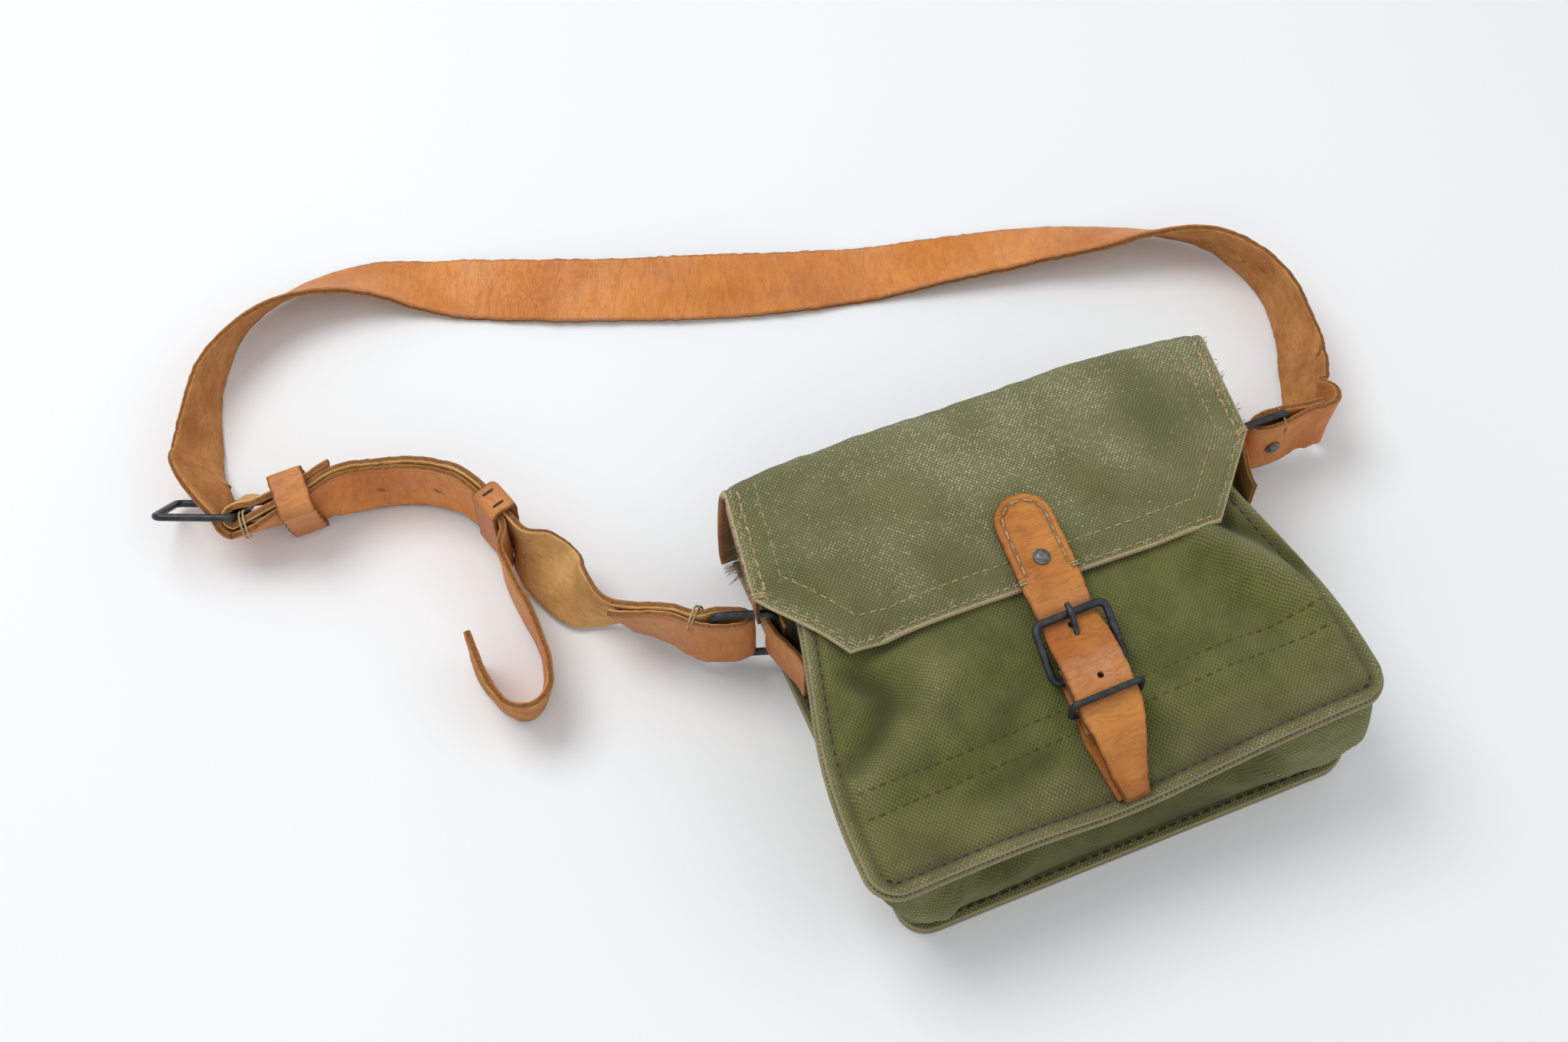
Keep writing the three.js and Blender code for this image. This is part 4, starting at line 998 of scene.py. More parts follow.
def build_billet():
    ends = CLOSURE_HALF * (1 - np.cos(np.radians(np.linspace(6, 90, 14))))
    downs = np.concatenate([ends, np.linspace(CLOSURE_HALF + 1, CLOSURE_LENGTH, 100)])
    shares = np.linspace(-1, 1, 27)
    rows = []
    for down in downs:
        y = CLOSURE_TOP - down
        rough = 0.13 * ripple(np.array([y, y + 90]), 0, 4.5, 41)
        across = shares * billet_half(y) + np.where(shares > 0, *rough) * shares ** 8
        rows.append(billet_point(np.full(len(shares), y), across))
    middle = np.array(rows)
    y = middle[..., 1]
    beside = y - HEEL_Y
    crease = 0.5 * bump(beside - 25, 1.2) + 0.35 * bump(beside + 2, 1.0) + 0.3 * bump(beside - 32, 0.8)
    cupped = 0.5 * shares ** 4 * bump(beside - 30, 14)
    middle[..., 2] += 0.25 * ripple(middle[..., 0], y, 14, 42) - crease - cupped
    down = downs[:, None] + 0 * y
    half = np.array([billet_half(CLOSURE_TOP - d) for d in downs])[:, None]
    aside = shares * half
    edge = np.minimum(half - np.abs(aside), np.minimum(down, CLOSURE_LENGTH - down))
    cracked = 0.5 * bump(beside + 3, 6) + 0.2 * bump(beside - 27, 6)
    from_middle = np.where(down < CLOSURE_HALF, np.hypot(CLOSURE_HALF - down, aside), np.abs(aside))
    seam = bump(from_middle - SEAM_HALF, 0.8) * (down < SEAM_RUN)
    # Painted shade: a band just down from the wire keeper and one in the crease past the buckle's top bar.
    painted_shade_bands = 0.4 * bump(beside - 25, 2.5) + 0.3 * bump(beside + 17, 2.0)
    burnt_and_shade = np.maximum(0.5 * ease(-y, 72, 93) * bump(edge, 4), 0.55 * seam) + painted_shade_bands
    tone = np.stack([cracked, burnt_and_shade, edge], -1)
    body = slab(middle, CLOSURE_LEATHER, UP, np.stack([down, aside], -1), 0.6, tone)
    billet = piece("closure_strap", body, closure_leather, "closure_billet")
    for y, across, diameter in PUNCHES:
        line = [billet_point(y, across) + UP * z for z in (-5, 5)]
        cut_out(billet, *sweep(wire_rings(line, diameter, loop=False, sides=20), loop=False))
    repaint(billet.data, body)


def cut_out(thing, points, faces):
    cutter = add_object("cutter", make_mesh("cutter", points, faces))
    modifier = thing.modifiers.new("hole", "BOOLEAN")
    modifier.operation, modifier.solver, modifier.object = "DIFFERENCE", "EXACT", cutter
    bpy.context.view_layer.update()
    whole = thing.evaluated_get(bpy.context.evaluated_depsgraph_get())
    thing.data = bpy.data.meshes.new_from_object(whole)
    thing.modifiers.clear()
    bpy.data.objects.remove(cutter)


def repaint(mesh, body):
    """Gives a cut mesh the layout and tone of the nearest points of the uncut body."""
    points, _, layout, tone = body
    tree = KDTree(len(points))
    for k, spot in enumerate(points * MM):
        tree.insert(spot, k)
    tree.balance()
    nearest = [tree.find(vertex.co)[1] for vertex in mesh.vertices]
    set_attribute(mesh, "layout", layout[nearest])
    set_attribute(mesh, "tone", tone[nearest])


def build_chape():
    ends = np.linspace(HEEL_Y - 47, HEEL_Y, 30)
    line = [(y, CHAPE_BOTTOM + max(1 - (y - ends[0]) / 13, 0) * 2 * CLEARANCE) for y in ends]
    for angle in np.linspace(-80, 90, 16):
        c, s = turned(angle)
        line.append((HEEL_Y + FOLD_RADIUS * c, HEEL_LIFT + FOLD_RADIUS * s))
    line += [(y, HEEL_LIFT + FOLD_RADIUS) for y in np.linspace(HEEL_Y - 1.5, HEEL_Y - 24, 16)]
    width = CLOSURE_WIDTH - 1
    rows = []
    for k, (y, lift) in enumerate(line):
        half = min(width / 2 * mix(0.6, 1, min(k / 8, 1)), billet_half(y))
        across = np.linspace(-half, half, 17) - 1.3 * ease(HEEL_Y - 16 - y, 0, 12)
        rows.append(over_front(np.full(17, y), lift, across))
    strip("closure_loop", np.array(rows), CHAPE_LEATHER, width, strap_leather, "closure_chape", dirt=0.4)


def wire_piece(name, rings, replaced, loop=True):
    piece(name, sweep(rings, loop), blued_wire, replaced)


def rivet(name, centre, axis, replaced, sides=32):
    """Domed head with a worn ring."""
    side = unit(np.cross(axis, point(0.3, 0.5, 0.81)))
    other = np.cross(axis, side)
    profile = ((0.98, 0.0), (1.0, 0.12), (0.98, 0.28), (0.9, 0.42), (0.84, 0.46), (0.78, 0.62), (0.6, 0.84),
               (0.4, 0.95), (0.2, 1.0), (0.05, 1.0))
    rings = [circle(centre + axis * rise * RIVET_HEIGHT, side, other, RIVET_DIAMETER / 2 * out, sides)
             for out, rise in profile]
    points = np.concatenate(rings)
    index = np.arange(len(points)).reshape(-1, sides)
    faces = [tuple(index[0].tolist()), tuple(index[-1, ::-1].tolist())]
    for here, there in zip(index[:-1], index[1:]):
        faces += bridge(here, there)
    piece(name, (points, outward_faces(points, faces)), rivet_metal, replaced)


def build_buckle():
    heel, top = over_front(HEEL_Y, HEEL_LIFT), over_front(TOP_Y, TOP_BAR_LIFT)
    across, along = unit(over_front(HEEL_Y, HEEL_LIFT, 10) - heel), top - heel
    room = CLOSURE_WIDTH + 2 * CLEARANCE + 1
    frame_rings = wire_frame((heel + top) / 2, across, unit(along), room + BUCKLE_WIRE, np.linalg.norm(along),
                             BUCKLE_WIRE)
    wire_piece("buckle", frame_rings, "buckle_frame")
    loop = BAR_RADIUS + CLEARANCE + PRONG_WIRE / 2
    path = []
    for angle in np.arange(350, 88, -13):
        c, s = turned(angle)
        path.append(over_front(HEEL_Y + loop * c, HEEL_LIFT + loop * s))
    shaft = ((0.20, -0.05), (0.42, -0.12), (0.58, 0.12), (0.74, 0.55), (0.90, 0.98), (1.02, 1), (1.12, 0.88))
    for u in np.linspace(shaft[0][0], shaft[-1][0], 28):
        lift = mix(HEEL_LIFT + loop, TOP_BAR_LIFT + loop, read(shaft, u))
        path.append(over_front(HEEL_Y + u * BUCKLE_LENGTH, lift))
    wire_piece("prong", wire_rings(path, PRONG_WIRE, loop=False), "buckle_prong", loop=False)
    high = OVER_LOOP + CLOSURE_LEATHER + 3 * CLEARANCE + KEEPER_WIRE / 2
    centre = over_front(HEEL_Y - 14, (high + HEEL_LIFT) / 2)
    keeper_rings = wire_frame(centre, across, UP, room + KEEPER_WIRE, high - HEEL_LIFT, KEEPER_WIRE)
    wire_piece("wire_keeper", keeper_rings, "closure_keeper")
    seat = over_front(CLOSURE_TOP - 30, ON_FLAP + CLOSURE_LEATHER + CLEARANCE / 3)
    rivet("closure_rivet_head", seat, UP, "closure_rivet")


# Side rings and their tabs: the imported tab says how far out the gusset's wall comes

RING_RISE = CANVAS * 2 + 2 * CLEARANCE + RING_WIRE
RING_LIFT = RING_RISE + RING_WIRE / 2 + CLEARANCE
RING_TALL = STRAP_WIDTH + 2 * CLEARANCE + RING_WIRE
RING_MID_Z = RING_RISE + RING_TALL / 2
TAB_LOOP = TAB_LEATHER / 2 + CLEARANCE + RING_WIRE / 2


def side_ring(name, side, y, angle):
    low, high = np.array(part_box(f"side_tab_{name}")) / MM
    inner = (low[0] if side > 0 else -high[0]) + TAB_LEATHER / 2
    c, s = turned(angle)
    out = point(side * c, s, 0)
    held = point(side * (inner + TAB_LOOP), y, RING_MID_Z)
    return {"name": name, "side": side, "y": y, "inner": inner, "out": out, "held": held,
            "bar": held + out * RING_LENGTH, "far": unit(point(0, 1, 0) - out * out[1])}


LEFT_RING = side_ring("left", -1, 43, 19)
RIGHT_RING = side_ring("right", 1, 49, 0)


def build_ring(ring):
    name, side, inner, y = ring["name"], ring["side"], ring["inner"], ring["y"]
    centre = (ring["held"] + ring["bar"]) / 2
    wire_piece(f"ring_{name}", wire_frame(centre, ring["out"], UP, RING_LENGTH, RING_TALL, RING_WIRE),
               f"side_ring_{name}")
    places = [(out * TAB_LOOP, along * TAB_LENGTH)
              for out, along in ((0, -1), (0.1, -0.8), (0.9, -0.5), (1.6, -0.27), (2, 0))]
    for angle in range(30, 181, 30):
        c, s = turned(angle)
        places.append((TAB_LOOP * (1 + c), TAB_LOOP * s))
    places.append((0, -TAB_LENGTH * 0.2))
    stations = [(point(side * (inner + out), y + along, RING_MID_Z), UP) for out, along in places]
    ribbon(f"tab_{name}", stations, TAB_WIDTH, TAB_LEATHER, adjuster_leather, f"side_tab_{name}", -side, 50)


# Straps. A station is a place on the strap's middle line and the direction of its width, or its lean until
# with_widths has turned that into one

def catmull(points, at):
    """Centripetal curve through points, read at places counted in points."""
    points = np.asarray(points, float)
    padded = np.concatenate([[2 * points[0] - points[1]], points, [2 * points[-1] - points[-2]]])
    i = np.clip(np.floor(at).astype(int), 0, len(points) - 2)
    u = (at - i)[:, None]
    p0, p1, p2, p3 = (padded[i + k] for k in range(4))
    pairs = ((p0, p1), (p1, p2), (p2, p3))
    d0, d1, d2 = (np.sqrt(np.linalg.norm(b - a, axis=1, keepdims=True)) for a, b in pairs)
    d1 = np.where(d1 < 1e-4, 1, d1)
    d0, d2 = np.where(d0 < 1e-4, d1, d0), np.where(d2 < 1e-4, d1, d2)
    t1 = ((p1 - p0) / d0 - (p2 - p0) / (d0 + d1) + (p2 - p1) / d1) * d1
    t2 = ((p2 - p1) / d1 - (p3 - p1) / (d1 + d2) + (p3 - p2) / d2) * d1
    return p1 + t1 * u + (-3 * p1 + 3 * p2 - 2 * t1 - t2) * u ** 2 + (2 * p1 - 2 * p2 + t1 + t2) * u ** 3


def ribbon_frame(stations, step=1.4):
    """Middles, width vectors and normals of a strap, one step apart, and how far along it they are."""
    points, widths = [np.array(v, float) for v in zip(*stations)]
    coarse = np.linspace(0, len(points) - 1, 20 * len(points))
    length = travel(catmull(points, coarse))
    at = np.interp(np.linspace(0, length[-1], int(length[-1] / step)), length, coarse)
    ahead = catmull(points, np.minimum(at + 0.2, len(points) - 1))
    along = unit(ahead - catmull(points, np.maximum(at - 0.2, 0)))
    across = catmull(widths, at)
    for _ in range(12):
        across[1:-1] = (across[:-2] + 2 * across[1:-1] + across[2:]) / 4
    across = unit(across - along * (across * along).sum(1, keepdims=True))
    return catmull(points, at), across, unit(np.cross(across, along)), np.interp(at, coarse, length)


def ribbon(name, stations, width, thickness, material, replaced, grain, seed, waves=0.0, holes=()):
    """A strap of leather. grain is the side of its face, -1 against the normal. holes become dark dots of
    painted shade.
    """
    middle, across, normal, along = ribbon_frame(stations)
    ragged = 0.22 * ripple(along, 0, 4, seed) + 0.18 * ripple(along, 50, 17, seed)
    offsets = np.linspace(-1, 1, 15) * (width / 2 + ragged)[:, None]
    run = along[:, None] + 0 * offsets
    lift = waves * ripple(run, offsets, 45, seed) + 0.12 * ripple(run, offsets, 9, seed + 1)
    grid = middle[:, None] + across[:, None] * offsets[..., None] + normal[:, None] * lift[..., None]
    edge = np.minimum(width / 2 - np.abs(offsets), np.minimum(run, along[-1] - run))
    wear = 0.25 * bump(edge, 1.5) + 0.12 * (1 + ripple(run, offsets, 60, seed + 2))
    dirt = 0 * wear
    # The holes are painted shade: dark dots put into the dirt tone.
    for x, y in holes:
        k = np.argmin(np.hypot(middle[:, 0] - x, middle[:, 1] - y))
        dirt = np.maximum(dirt, bump(np.hypot((run - along[k]) * 0.7, offsets), 1.4))
    tone = np.stack([wear, dirt, edge], -1)
    body = slab(grid, thickness, normal[:, None], np.stack([run, offsets], -1), 0.55, tone)
    body[0][:, 2] = np.maximum(body[0][:, 2], 0.1)
    body[2][:, 2] *= grain
    piece(name, body, material, replaced)


def place(x, y, lift, lean, along=1.0):
    """A station by its hundredths of the strap's reach from a place between the rings' bars."""
    lean = math.radians(lean)
    lowest = abs(math.sin(lean)) * STRAP_WIDTH / 2 + abs(math.cos(lean)) * STRAP_LEATHER / 2
    anchor = mix(RIGHT_RING["bar"], LEFT_RING["bar"], along)
    return anchor * [1, 1, 0] + point(x / 100 * STRAP_REACH, y / 100 * STRAP_REACH,
                                      lowest + lift * RING_LIFT + 2 * CLEARANCE), lean


def neighbours(stations):
    """Every station with the way along the line at it."""
    last = len(stations) - 1
    return [(spot, width, stations[min(k + 1, last)][0] - stations[max(k - 1, 0)][0])
            for k, (spot, width) in enumerate(stations)]


def with_widths(stations):
    done = []
    for spot, width, ahead in neighbours(stations):
        if np.ndim(width) == 0:
            right = np.cross(unit(ahead * [1, 1, 0]), UP)
            width = right * math.cos(width) + UP * math.sin(width)
        done.append((spot, width))
    return done


def shifted(stations, distance, fan=()):
    """Moves stations off their face, positive to the left of the way along, the first by the fan more."""
    fan = [*fan, *[0] * len(stations)]
    return [(spot + unit(np.cross(width, ahead)) * (distance + math.copysign(more, distance)), width)
            for (spot, width, ahead), more in zip(neighbours(stations), fan)]


LAYER_STEP = STRAP_LEATHER + LAYER_GAP
WRAP_RADIUS = RING_WIRE / 2 + CLEARANCE + STRAP_LEATHER / 2
FOLD_BULGE = WRAP_RADIUS + 0.1
FOLD_SHAPE = (  # along, far
    (-6, 0.72), (0, 1.03), (6, 1.1), (11, 0.96), (14.5, 0.55), (15.8, 0),
    (14.5, -0.55), (11, -0.96), (6, -1.1), (0, -1.03), (-6, -0.72),
)


def side_fold(ring):
    stations = []
    for along, far in FOLD_SHAPE:
        spot = ring["bar"] - ring["out"] * along / 25 * RING_LENGTH + ring["far"] * far * FOLD_BULGE
        spot[2] = STRAP_WIDTH / 2 + RING_LIFT
        stations.append((spot, UP))
    return stations


LEAN_ALONG, LEAN_UP = turned(ADJUSTER_LEAN)
ADJUSTER_U = unit(point(0.918, -0.397, 0))
ADJUSTER_B = np.cross(ADJUSTER_U, UP) * LEAN_ALONG + UP * LEAN_UP
ADJUSTER_NEAR = np.cross(ADJUSTER_U, ADJUSTER_B)
ADJUSTER_TALL = STRAP_WIDTH + 2 * CLEARANCE + RING_WIRE + 1
ADJUSTER = place(-59.5, 47.5, 0, ADJUSTER_LEAN)[0]
ADJUSTER[2] = ADJUSTER_TALL / 2 * LEAN_UP + RING_WIRE / 2 + 2.9


def adjuster_turn(radius, angles):
    bar = ADJUSTER + ADJUSTER_U * ADJUSTER_LENGTH / 2
    turns = [turned(angle) for angle in angles]
    return [(bar - ADJUSTER_U * radius * c + ADJUSTER_NEAR * radius * s, ADJUSTER_B) for c, s in turns]


def route(rows):
    """Stations from rows of x, y, lift and lean, after a share along between the rings where there is one."""
    return [place(*row[-4:], along=row[0] if len(row) == 5 else 1.0) for row in rows]


BUNDLE_ROUTE = (  # x, y, lift, lean
    (-52.0, 43.2, 0.33, 58), (-49.4, 42.7, 0.47, 66), (-46.7, 42.4, 0.53, 74), (-44.0, 42.5, 0.53, 82),
    (-41.0, 42.9, 0.50, 88), (-38.0, 43.1, 0.22, 90), (-34.0, 42.5, 0.04, 90), (-30.0, 41.0, 0.06, 90),
    (-26.7, 38.8, 0.15, 90), (-24.3, 36.2, 0.30, 90), (-22.5, 32.8, 0.38, 90), (-21.2, 29.7, 0.38, 90),
    (-20.5, 26.5, 0.36, 90),
)
SHOULDER_START = ((0, 6.2, 0.3, 0.8, 90), (0, 3.6, 0.6, 0.9, 90))  # along, x, y, lift, lean
SHOULDER_ROUTE = (  # along, x, y, lift, lean
    (0.00, 3.6, -0.6, 0.90, 90), (0.00, 6.2, -0.6, 0.75, 90), (0.00, 8.2, 0.0, 0.60, 88),
    (0.00, 9.0, 1.6, 0.40, 78), (0.02, 9.8, 4.2, 0.20, 66), (0.05, 14.8, 9.8, 0.05, 62),
    (0.08, 19.5, 16.0, 0, 72), (0.11, 23.3, 21.9, 0, 81), (0.13, 24.8, 27.5, 0, 90),
    (0.16, 25.8, 32.4, 0, 99), (0.18, 25.0, 36.4, 0, 110), (0.20, 22.7, 39.6, 0, 120),
    (0.23, 20.3, 42.0, 0, 131), (0.25, 16.3, 44.0, 0, 142),
    (0.31, 10.0, 47.7, 0, 158), (0.36, 2.2, 50.7, 0, 169),
    (0.42, -4.8, 53.5, 0, 180), (0.48, -11.9, 56.0, 0, 194), (0.53, -19.0, 59.1, 0, 206),
    (0.59, -25.2, 63.5, 0, 201), (0.65, -31.3, 68.2, 0, 197), (0.70, -38.1, 73.7, 0, 188),
    (0.73, -41.8, 77.0, 0, 172), (0.76, -45.3, 79.5, 0, 155), (0.79, -48.3, 80.7, 0, 143),
    (0.82, -51.1, 80.8, 0, 133), (0.84, -54.4, 80.0, 0, 125), (0.86, -57.3, 77.7, 0, 115),
    (0.89, -59.1, 73.9, 0, 98), (0.91, -60.4, 70.3, 0, 86), (0.93, -60.8, 66.0, 0, 76),
    (0.96, -60.4, 60.1, 0, 65), (1.00, -58.3, 55.3, 0.30, 57), (1.00, -58.4, 51.6, 0.81, 54),
)
SHOULDER_HOLES = ((-287, 176), (-234, 179), (-209, 170))
TAIL_ROUTE = (  # x, y, lift, lean
    (-22.7, 23.2, 0.20, 90), (-22.7, 19.8, 0.05, 90), (-22.4, 16.5, 0, 90), (-22.0, 12.8, 0, 90),
    (-22.0, 8.8, 0, 90), (-22.8, 4.4, 0, 96), (-24.3, 1.6, 0, 104), (-26.3, 0.4, 0, 108),
    (-28.4, 1.0, 0, 106), (-29.9, 3.1, 0, 100), (-30.8, 6.5, 0, 95), (-31.2, 9.8, 0, 90),
    (-31.2, 12.6, 0, 90),
)
ADJUSTER_ROUTE = (  # x, y, lift, lean
    (-19.4, 24.6, 0.26, 98), (-17.8, 22.5, 0.15, 122), (-16.4, 19.6, 0.03, 138), (-15.4, 16.6, 0, 132),
    (-14.1, 13.9, 0.04, 112), (-12.3, 11.6, 0.14, 88),
)
LOWER_ROUTE = ((-10.3, 8.8, 0.30, 72), (-7.4, 6.4, 0.55, 76), (-4.5, 3.7, 0.80, 85))  # x, y, lift, lean
BUNDLE = with_widths(adjuster_turn(WRAP_RADIUS + LAYER_STEP / 2 + 0.2, [90]) + route(BUNDLE_ROUTE))
LOWER = with_widths(route(LOWER_ROUTE))
KEEPER_BY_ADJUSTER, KEEPER_MIDDLE = BUNDLE[2:5], BUNDLE[11:14]
KEEPER_CORNER = 2.6
KEEPER_TOP = STRAP_WIDTH / 2 + 6 * CLEARANCE + KEEPER_LEATHER


def build_straps():
    shoulder = with_widths(
        route(SHOULDER_START) + side_fold(RIGHT_RING) + route(SHOULDER_ROUTE)
        + adjuster_turn(WRAP_RADIUS + LAYER_STEP + 0.5, [10, 40, 70, 90])
        + shifted(BUNDLE, -LAYER_STEP / 2, (0, 1, 0.3))[1:] + route(TAIL_ROUTE))
    adjuster = with_widths(
        shifted(BUNDLE[:6], LAYER_STEP * 1.5, (0, 0.8))[:0:-1]
        + adjuster_turn(WRAP_RADIUS + 0.2, range(-90, 91, 30))
        + shifted(BUNDLE, LAYER_STEP / 2)[1:] + route(ADJUSTER_ROUTE) + shifted(LOWER, LAYER_STEP / 2)
        + side_fold(LEFT_RING) + shifted(LOWER, -LAYER_STEP / 2)[::-1])
    size = (STRAP_WIDTH, STRAP_LEATHER)
    ribbon("shoulder_leather", shoulder, *size, strap_leather, "shoulder_strap", -1, 61, 0.25, SHOULDER_HOLES)
    ribbon("adjuster_leather", adjuster, *size, adjuster_leather, "adjuster_strap", 1, 64, 0.2)
    ring = wire_frame(ADJUSTER, ADJUSTER_U, ADJUSTER_B, ADJUSTER_LENGTH, ADJUSTER_TALL, RING_WIRE)
    wire_piece("adjuster_wire", ring, "adjuster_ring")
    far = RIGHT_RING["far"]
    seat = RIGHT_RING["bar"] - RIGHT_RING["out"] * 0.24 * RING_LENGTH
    seat = seat - far * (1.1 * FOLD_BULGE + STRAP_LEATHER / 2 + CLEARANCE / 3)
    rivet("strap_rivet_head", seat, -far, "strap_rivet")


def build_keeper(name, stations, layers, slack, replaced):
    """A flat loop of leather round the bundle, with rounded corners and edges."""
    (before, _), (middle, width), (after, _) = stations
    along, across, far = square_frame(before, after, width)
    lift = KEEPER_TOP - KEEPER_LEATHER / 2
    low = layers[0] * LAYER_STEP - slack - KEEPER_LEATHER / 2
    high = layers[1] * LAYER_STEP + slack + KEEPER_LEATHER / 2
    outline = []
    for n, w, start in ((low, lift, 180), (high, lift, 90), (high, -lift, 0), (low, -lift, -90)):
        centre_n = n - math.copysign(KEEPER_CORNER, n - (low + high) / 2)
        centre_w = w - math.copysign(KEEPER_CORNER, w)
        for angle in np.linspace(start, start - 90, 6):
            c, s = turned(angle)
            outline.append((centre_n + KEEPER_CORNER * c, centre_w + KEEPER_CORNER * s))
    fine = closed_path(np.array(outline), 1.6)
    tangent = unit(np.roll(fine, -1, 0) - np.roll(fine, 1, 0))
    outward = np.stack([-tangent[:, 1], tangent[:, 0]], -1)
    outward *= np.sign((outward * (fine - fine.mean(0))).sum())
    shares = np.concatenate([np.linspace(-1, 1, 13), np.linspace(1, -1, 13)])
    sides = np.repeat([1.0, -1.0], 13)
    thin = KEEPER_LEATHER / 2 * (1 - 0.35 * np.abs(shares) ** 10)
    faced = sides * np.where(np.abs(shares) < 0.99, 1, 0.2)
    rings, layout, tone = [], [], []
    for (n, w), (on, ow), run in zip(fine, outward, travel(fine)):
        half = KEEPER_LENGTH / 2 + 0.25 * math.sin(run * 0.9)
        wave = 0.175 * math.sin(run * 0.21 - 1)
        rings.append(middle + far * n + across * w + along * (wave + shares * half)[:, None]
                     + (far * on + across * ow) * (sides * thin)[:, None])
        layout.append(np.stack([run * MM + 0 * shares, shares * half * MM, faced], -1))
        tone.append(np.stack([0.15 + 0 * shares, 0 * shares, half * (1 - np.abs(shares))], -1))
    body = (*sweep(rings), np.concatenate(layout), np.concatenate(tone))
    piece(name, body, adjuster_leather, replaced)


# Stitches, whippings and frays

def on_front(x, y):
    """Height of the finished face of the front panel."""
    rise = y + BAG_HEIGHT / 2
    middle, half = panel_lines(FRONT_OUTLINE, rise)
    return front_height(x, y, half, (x - middle) / half, rise)[0]


def front_places(xy):
    x, y = np.asarray(xy, float).T
    lean_x, lean_y = on_front(x - 0.5, y) - on_front(x + 0.5, y), on_front(x, y - 0.5) - on_front(x, y + 0.5)
    return np.stack([x, y, on_front(x, y)], -1), unit(np.stack([lean_x, lean_y, np.ones_like(x)], -1))


def inset_line(outline, inset):
    xy, _ = edge_line(outline, inset)
    return xy[xy[:, 1] > inset - BAG_HEIGHT / 2 - 0.1]


def flap_at(x, down):
    return flap_front(x / flap_half(down / FLAP_REACH), down / FLAP_REACH)


def flap_places(flat):
    """Places on the face of the flap, with their normals, from flat ones: across, and down from the fold."""
    x, down = np.asarray(flat, float).T
    below, ahead = flap_at(x, down + 1) - flap_at(x, down - 1), flap_at(x + 1, down) - flap_at(x - 1, down)
    normal = unit(np.cross(below, ahead))
    return flap_at(x, down) + normal * (FLAP_CANVAS / 2 - 0.25), normal


def flap_outline(inset):
    """Flat line inside the flap's edge, from the fold down the left side, across and up the right side."""
    slant = math.hypot(FLAP_BEVEL, FLAP_BEVEL_RUN)
    half = FLAP_WIDTH / 2
    side = (half - inset, BEVEL_FROM + inset * (FLAP_BEVEL - slant) / FLAP_BEVEL_RUN)
    foot = (half - FLAP_BEVEL_RUN - inset * (slant - FLAP_BEVEL_RUN) / FLAP_BEVEL, FLAP_REACH - inset)
    right = np.array([foot, side, (side[0], 5)])
    corners = np.concatenate([right[::-1] * [-1, 1], right])
    line = []
    for a, b in zip(corners[:-1], corners[1:]):
        steps = int(math.dist(a, b) / 2)
        line += [mix(a, b, k / steps) for k in range(steps)]
    return np.array([*line, corners[-1]])


def build_canvas_stitches():
    rows, seams, flap = Threads(), Threads(), Threads()
    for k in range(2):
        x = np.linspace(-112, 88, 160)
        rows.row(*front_places(np.stack([x, row_y(x, k)], -1)), 4.6, 0.66, 0.34, 0.3, seed=70 + k)
    rows.make("front_stitches", olive_thread, "canvas")
    seams.row(*front_places(inset_line(FRONT_OUTLINE, SEAM_INSET)), 4.6, 0.5, 0.34, 0.1, seed=72)
    back = inset_line(BACK_OUTLINE, 3.2)
    faces = ((FLANGE_Z + CANVAS / 2 - 0.1, UP, 0.5, 0.35, 73), (0.6, -UP, 0.3, 0.1, 74))
    for height, way, radius, rise, seed in faces:
        places = np.column_stack([back, np.full(len(back), height)])
        seams.row(places, way, 5.0, 0.62, radius, rise, seed=seed)
    seams.make("seam_stitches", dark_thread, "canvas")
    for inset, seed in ((FLAP_SEAM, 75), (FLAP_ROW, 76)):
        flap.row(*flap_places(flap_outline(inset)), 4.4, 0.68, 0.36, 0.35, seed=seed)
    half = FLAP_WIDTH / 2
    for side in (-1, 1):
        line = [(side * (half - 5.6 + 0.5 * math.sin(k)), 6 + k * 0.5) for k in range(96)]
        flap.row(*flap_places(line), 6.2, 0.84, 0.6, 0.7, seed=77 + side)
        ends = np.array([(side * (half - 6.5), BEVEL_FROM + 0.5), (side * (half + 0.2), BEVEL_FROM - 1.5)])
        for shift in (0, 1.3):
            spots, normals = flap_places(ends + [0, shift])
            flap.stitch(spots[0], spots[1], normals[0], 0.65, 0.7)
        for k in range(8):
            x, down = side * (half - 0.9), 8 + k * 5.8
            (a, b), (normal, _) = flap_places([(x, down), (x + side * 0.4, down + 3.4)])
            flap.stitch(a - normal * 0.6, b - normal * 0.8, normal, 0.5, 0.45)
    flap.make("flap_stitches", tan_thread, "flap_canvas")


def build_closure_stitches():
    seam = Threads()
    straight = np.arange(int(SEAM_RUN - CLOSURE_HALF) + 1)
    turn = np.linspace(0, math.pi, 24)
    across = [0 * straight - SEAM_HALF, -SEAM_HALF * np.cos(turn), 0 * straight + SEAM_HALF]
    down = [SEAM_RUN - straight, CLOSURE_HALF - SEAM_HALF * np.sin(turn), CLOSURE_HALF + straight]
    top = UP * (CLOSURE_LEATHER / 2)
    places = billet_point(CLOSURE_TOP - np.concatenate(down), np.concatenate(across)) + top
    seam.row(places, UP, 5.7, 0.74, 0.5, 0.45, 0.05, seed=80)
    for side in (-1, 1):
        for shift in (0, 1.2):
            y = CLOSURE_TOP - SEAM_RUN - 1 - shift
            a, b = [billet_point(y, side * aside) + top for aside in (SEAM_HALF, CLOSURE_HALF + 0.3)]
            seam.stitch(a, b, UP, 0.5, 0.5)
    seam.make("closure_stitches", tan_thread, "leather")


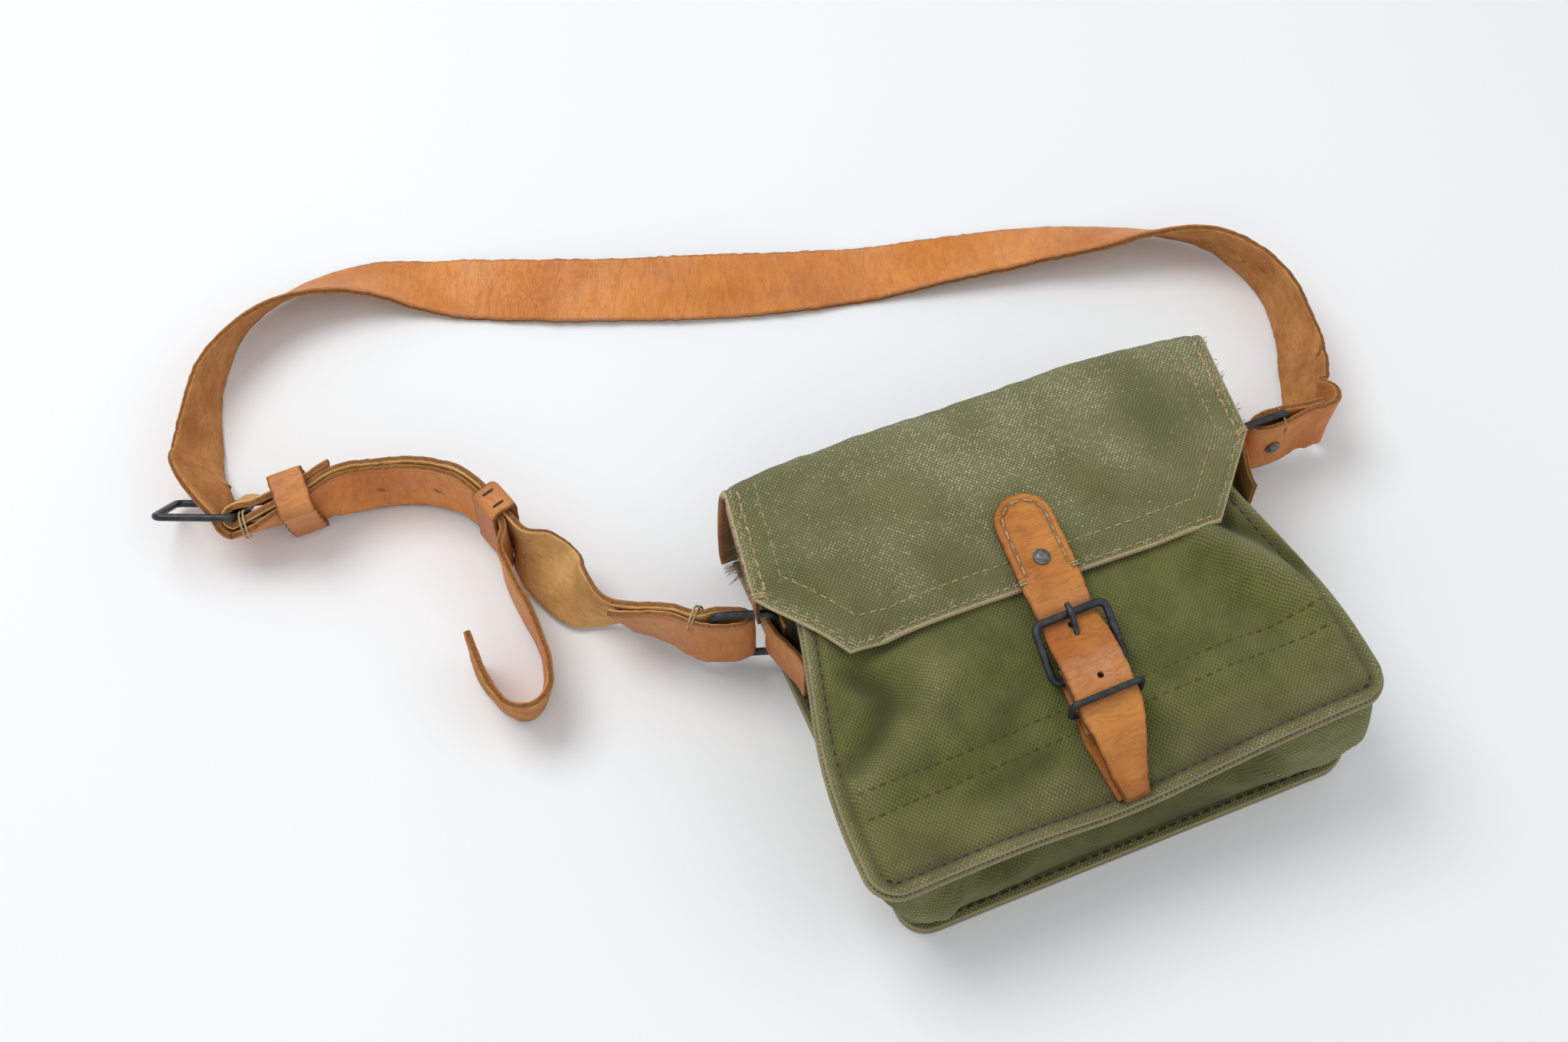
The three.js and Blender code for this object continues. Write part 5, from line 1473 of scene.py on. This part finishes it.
def whipping(threads, stations, at, thick, turns, radius, spread, start):
    """Turns of thread wound round a bundle of straps of one thickness, at one place of its line."""
    middle, across, normal, along = ribbon_frame(stations)
    k = int(np.clip(np.searchsorted(along, at), 1, len(along) - 2))
    way = unit(middle[k + 1] - middle[k - 1])
    path = []
    for u in np.linspace(start, turns, int(28 * (turns - start))):
        c, s = turned(u * 360)
        w = (STRAP_WIDTH / 2 + radius) * math.copysign(abs(c) ** 0.3, c)
        n = (thick / 2 + radius) * math.copysign(abs(s) ** 0.5, s)
        path.append(middle[k] + across[k] * w + normal[k] * n + way * (u / turns - 0.5) * spread)
    threads.thread(path, radius)


def build_strap_threads():
    threads, marks = Threads(), Threads()
    lower = LOWER + [(LEFT_RING["bar"], UP)]
    for at in (33.5, 35):
        whipping(threads, lower, at, STRAP_LEATHER + 2.1 * FOLD_BULGE, 0.3, 0.5, 1.2, -0.22)
    for at in (6, 7.3):
        whipping(threads, BUNDLE[:3], at, STRAP_LEATHER * 3 + LAYER_GAP * 2, 0.2, 0.5, 0.5, -0.2)
    out = [((RIGHT_RING["bar"] + RIGHT_RING["out"] * d) * [1, 1, 0] + UP * (STRAP_WIDTH / 2 + RING_LIFT), UP)
           for d in (-3, 0, 3, 6)]
    whipping(threads, out, 1.5, FOLD_BULGE * 2.2 + STRAP_LEATHER, 0.22, 0.45, 0.8, -0.22)
    threads.make("strap_whippings", tan_thread, "leather")
    (before, _), (middle, width), (after, _) = KEEPER_MIDDLE
    along, across, far = square_frame(before, after, width)
    top = middle + across * (KEEPER_TOP - 0.1)
    for shift in (-3.6, 3.6):
        marks.stitch(top + along * shift - far * 3.4, top + along * shift + far * 2.6, across, 0.5, 0.3)
    marks.make("keeper_stitches", dark_thread, "leather")


def build_frays():
    """Loose threads at the left ear and along the flap's raw edges."""
    rng = np.random.default_rng(90)
    frays = Threads()
    for _ in range(16):
        edge = flap_front(-1.0, np.float64(0.30 + 0.10 * rng.random()))
        start = edge + [1.2, 0, -7 - 5 * rng.random()]
        way = unit(point(-1, -0.5 + 0.9 * rng.random(), -0.4 + 0.7 * rng.random()))
        bend = unit(rng.random(3) - 0.5)
        long = 3 + 5 * rng.random()
        frays.thread([start + way * long * u + bend * 1.6 * u * u for u in np.linspace(0, 1, 6)], 0.16, 5)
    for _ in range(46):
        side = -1 if rng.random() < 0.6 else 1
        spot = flap_places([(side * (FLAP_WIDTH / 2 - 0.3), 6 + 48 * rng.random())])[0][0]
        way = unit(point(side * (0.3 + rng.random()), rng.random() - 0.5, rng.random() - 0.6))
        bend = unit(rng.random(3) - 0.5)
        frays.thread([spot + way * 1.6 * u + bend * u * u for u in np.linspace(0, 1, 5)], 0.12, 5)
    frays.make("frayed_threads", olive_thread, "canvas")


# Floor, light and camera, in metres

def build_studio():
    corners = [(x, y, -0.0004) for x, y in ((-4, -4), (4, -4), (4, 4), (-4, 4))]
    mesh = bpy.data.meshes.new("floor")
    mesh.from_pydata(corners, [], [(0, 1, 2, 3)])
    mesh.materials.append(Nodes("floor").finish(Base_Color=(0.86, 0.875, 0.88), Roughness=0.6,
                                                Specular_IOR_Level=0.2))
    add_object("floor", mesh)
    world = bpy.data.worlds.new("studio")
    world.use_nodes = True
    sky = world.node_tree.nodes["Background"].inputs
    sky["Color"].default_value = (0.94, 0.97, 1.0, 1)
    sky["Strength"].default_value = 0.60
    bpy.context.scene.world = world
    lamps = (  # place, size, watts
        ("key", (-0.55, 0.75, 1.5), 1.1, 14),
        ("fill", (0.9, -0.5, 1.3), 1.4, 3),
        ("front", (-0.5, -1.1, 1.0), 1.2, 2.5),
    )
    for name, spot, size, watts in lamps:
        data = bpy.data.lights.new(name, "AREA")
        data.shape, data.size, data.energy = "DISK", size, watts
        aim(add_object(name, data), Vector(spot), Vector((-0.05, 0.08, 0)))
    bpy.context.scene.view_settings.view_transform = "Standard"


def aim(thing, spot, target):
    thing.location = spot
    thing.rotation_euler = (target - spot).to_track_quat("-Z", "Y").to_euler()


def build_camera():
    """The photograph's angle: 60 degrees up and 22.5 degrees round to the left, from 950 mm away."""
    level, up = turned(60)
    ahead, aside = turned(-22.5)
    data = bpy.data.cameras.new("camera")
    data.lens, data.sensor_width = 50, 36
    camera = add_object("camera", data)
    target = Vector((-0.077, 0.1035, 0))
    aim(camera, target + Vector((aside * level, -ahead * level, up)) * 0.95, target)
    bpy.context.scene.camera = camera


build_camera()
build_studio()
build_front()
build_back()
build_gusset()
build_flap()
build_ears()
build_billet()
build_chape()
build_buckle()
build_ring(LEFT_RING)
build_ring(RIGHT_RING)
build_straps()
build_keeper("keeper_by_adjuster", KEEPER_BY_ADJUSTER, (-1, 2), 2, "strap_keeper_1")
build_keeper("keeper_middle", KEEPER_MIDDLE, (-1, 1), 0.1, "strap_keeper_2")
build_canvas_stitches()
build_closure_stitches()
build_strap_threads()
build_frays()
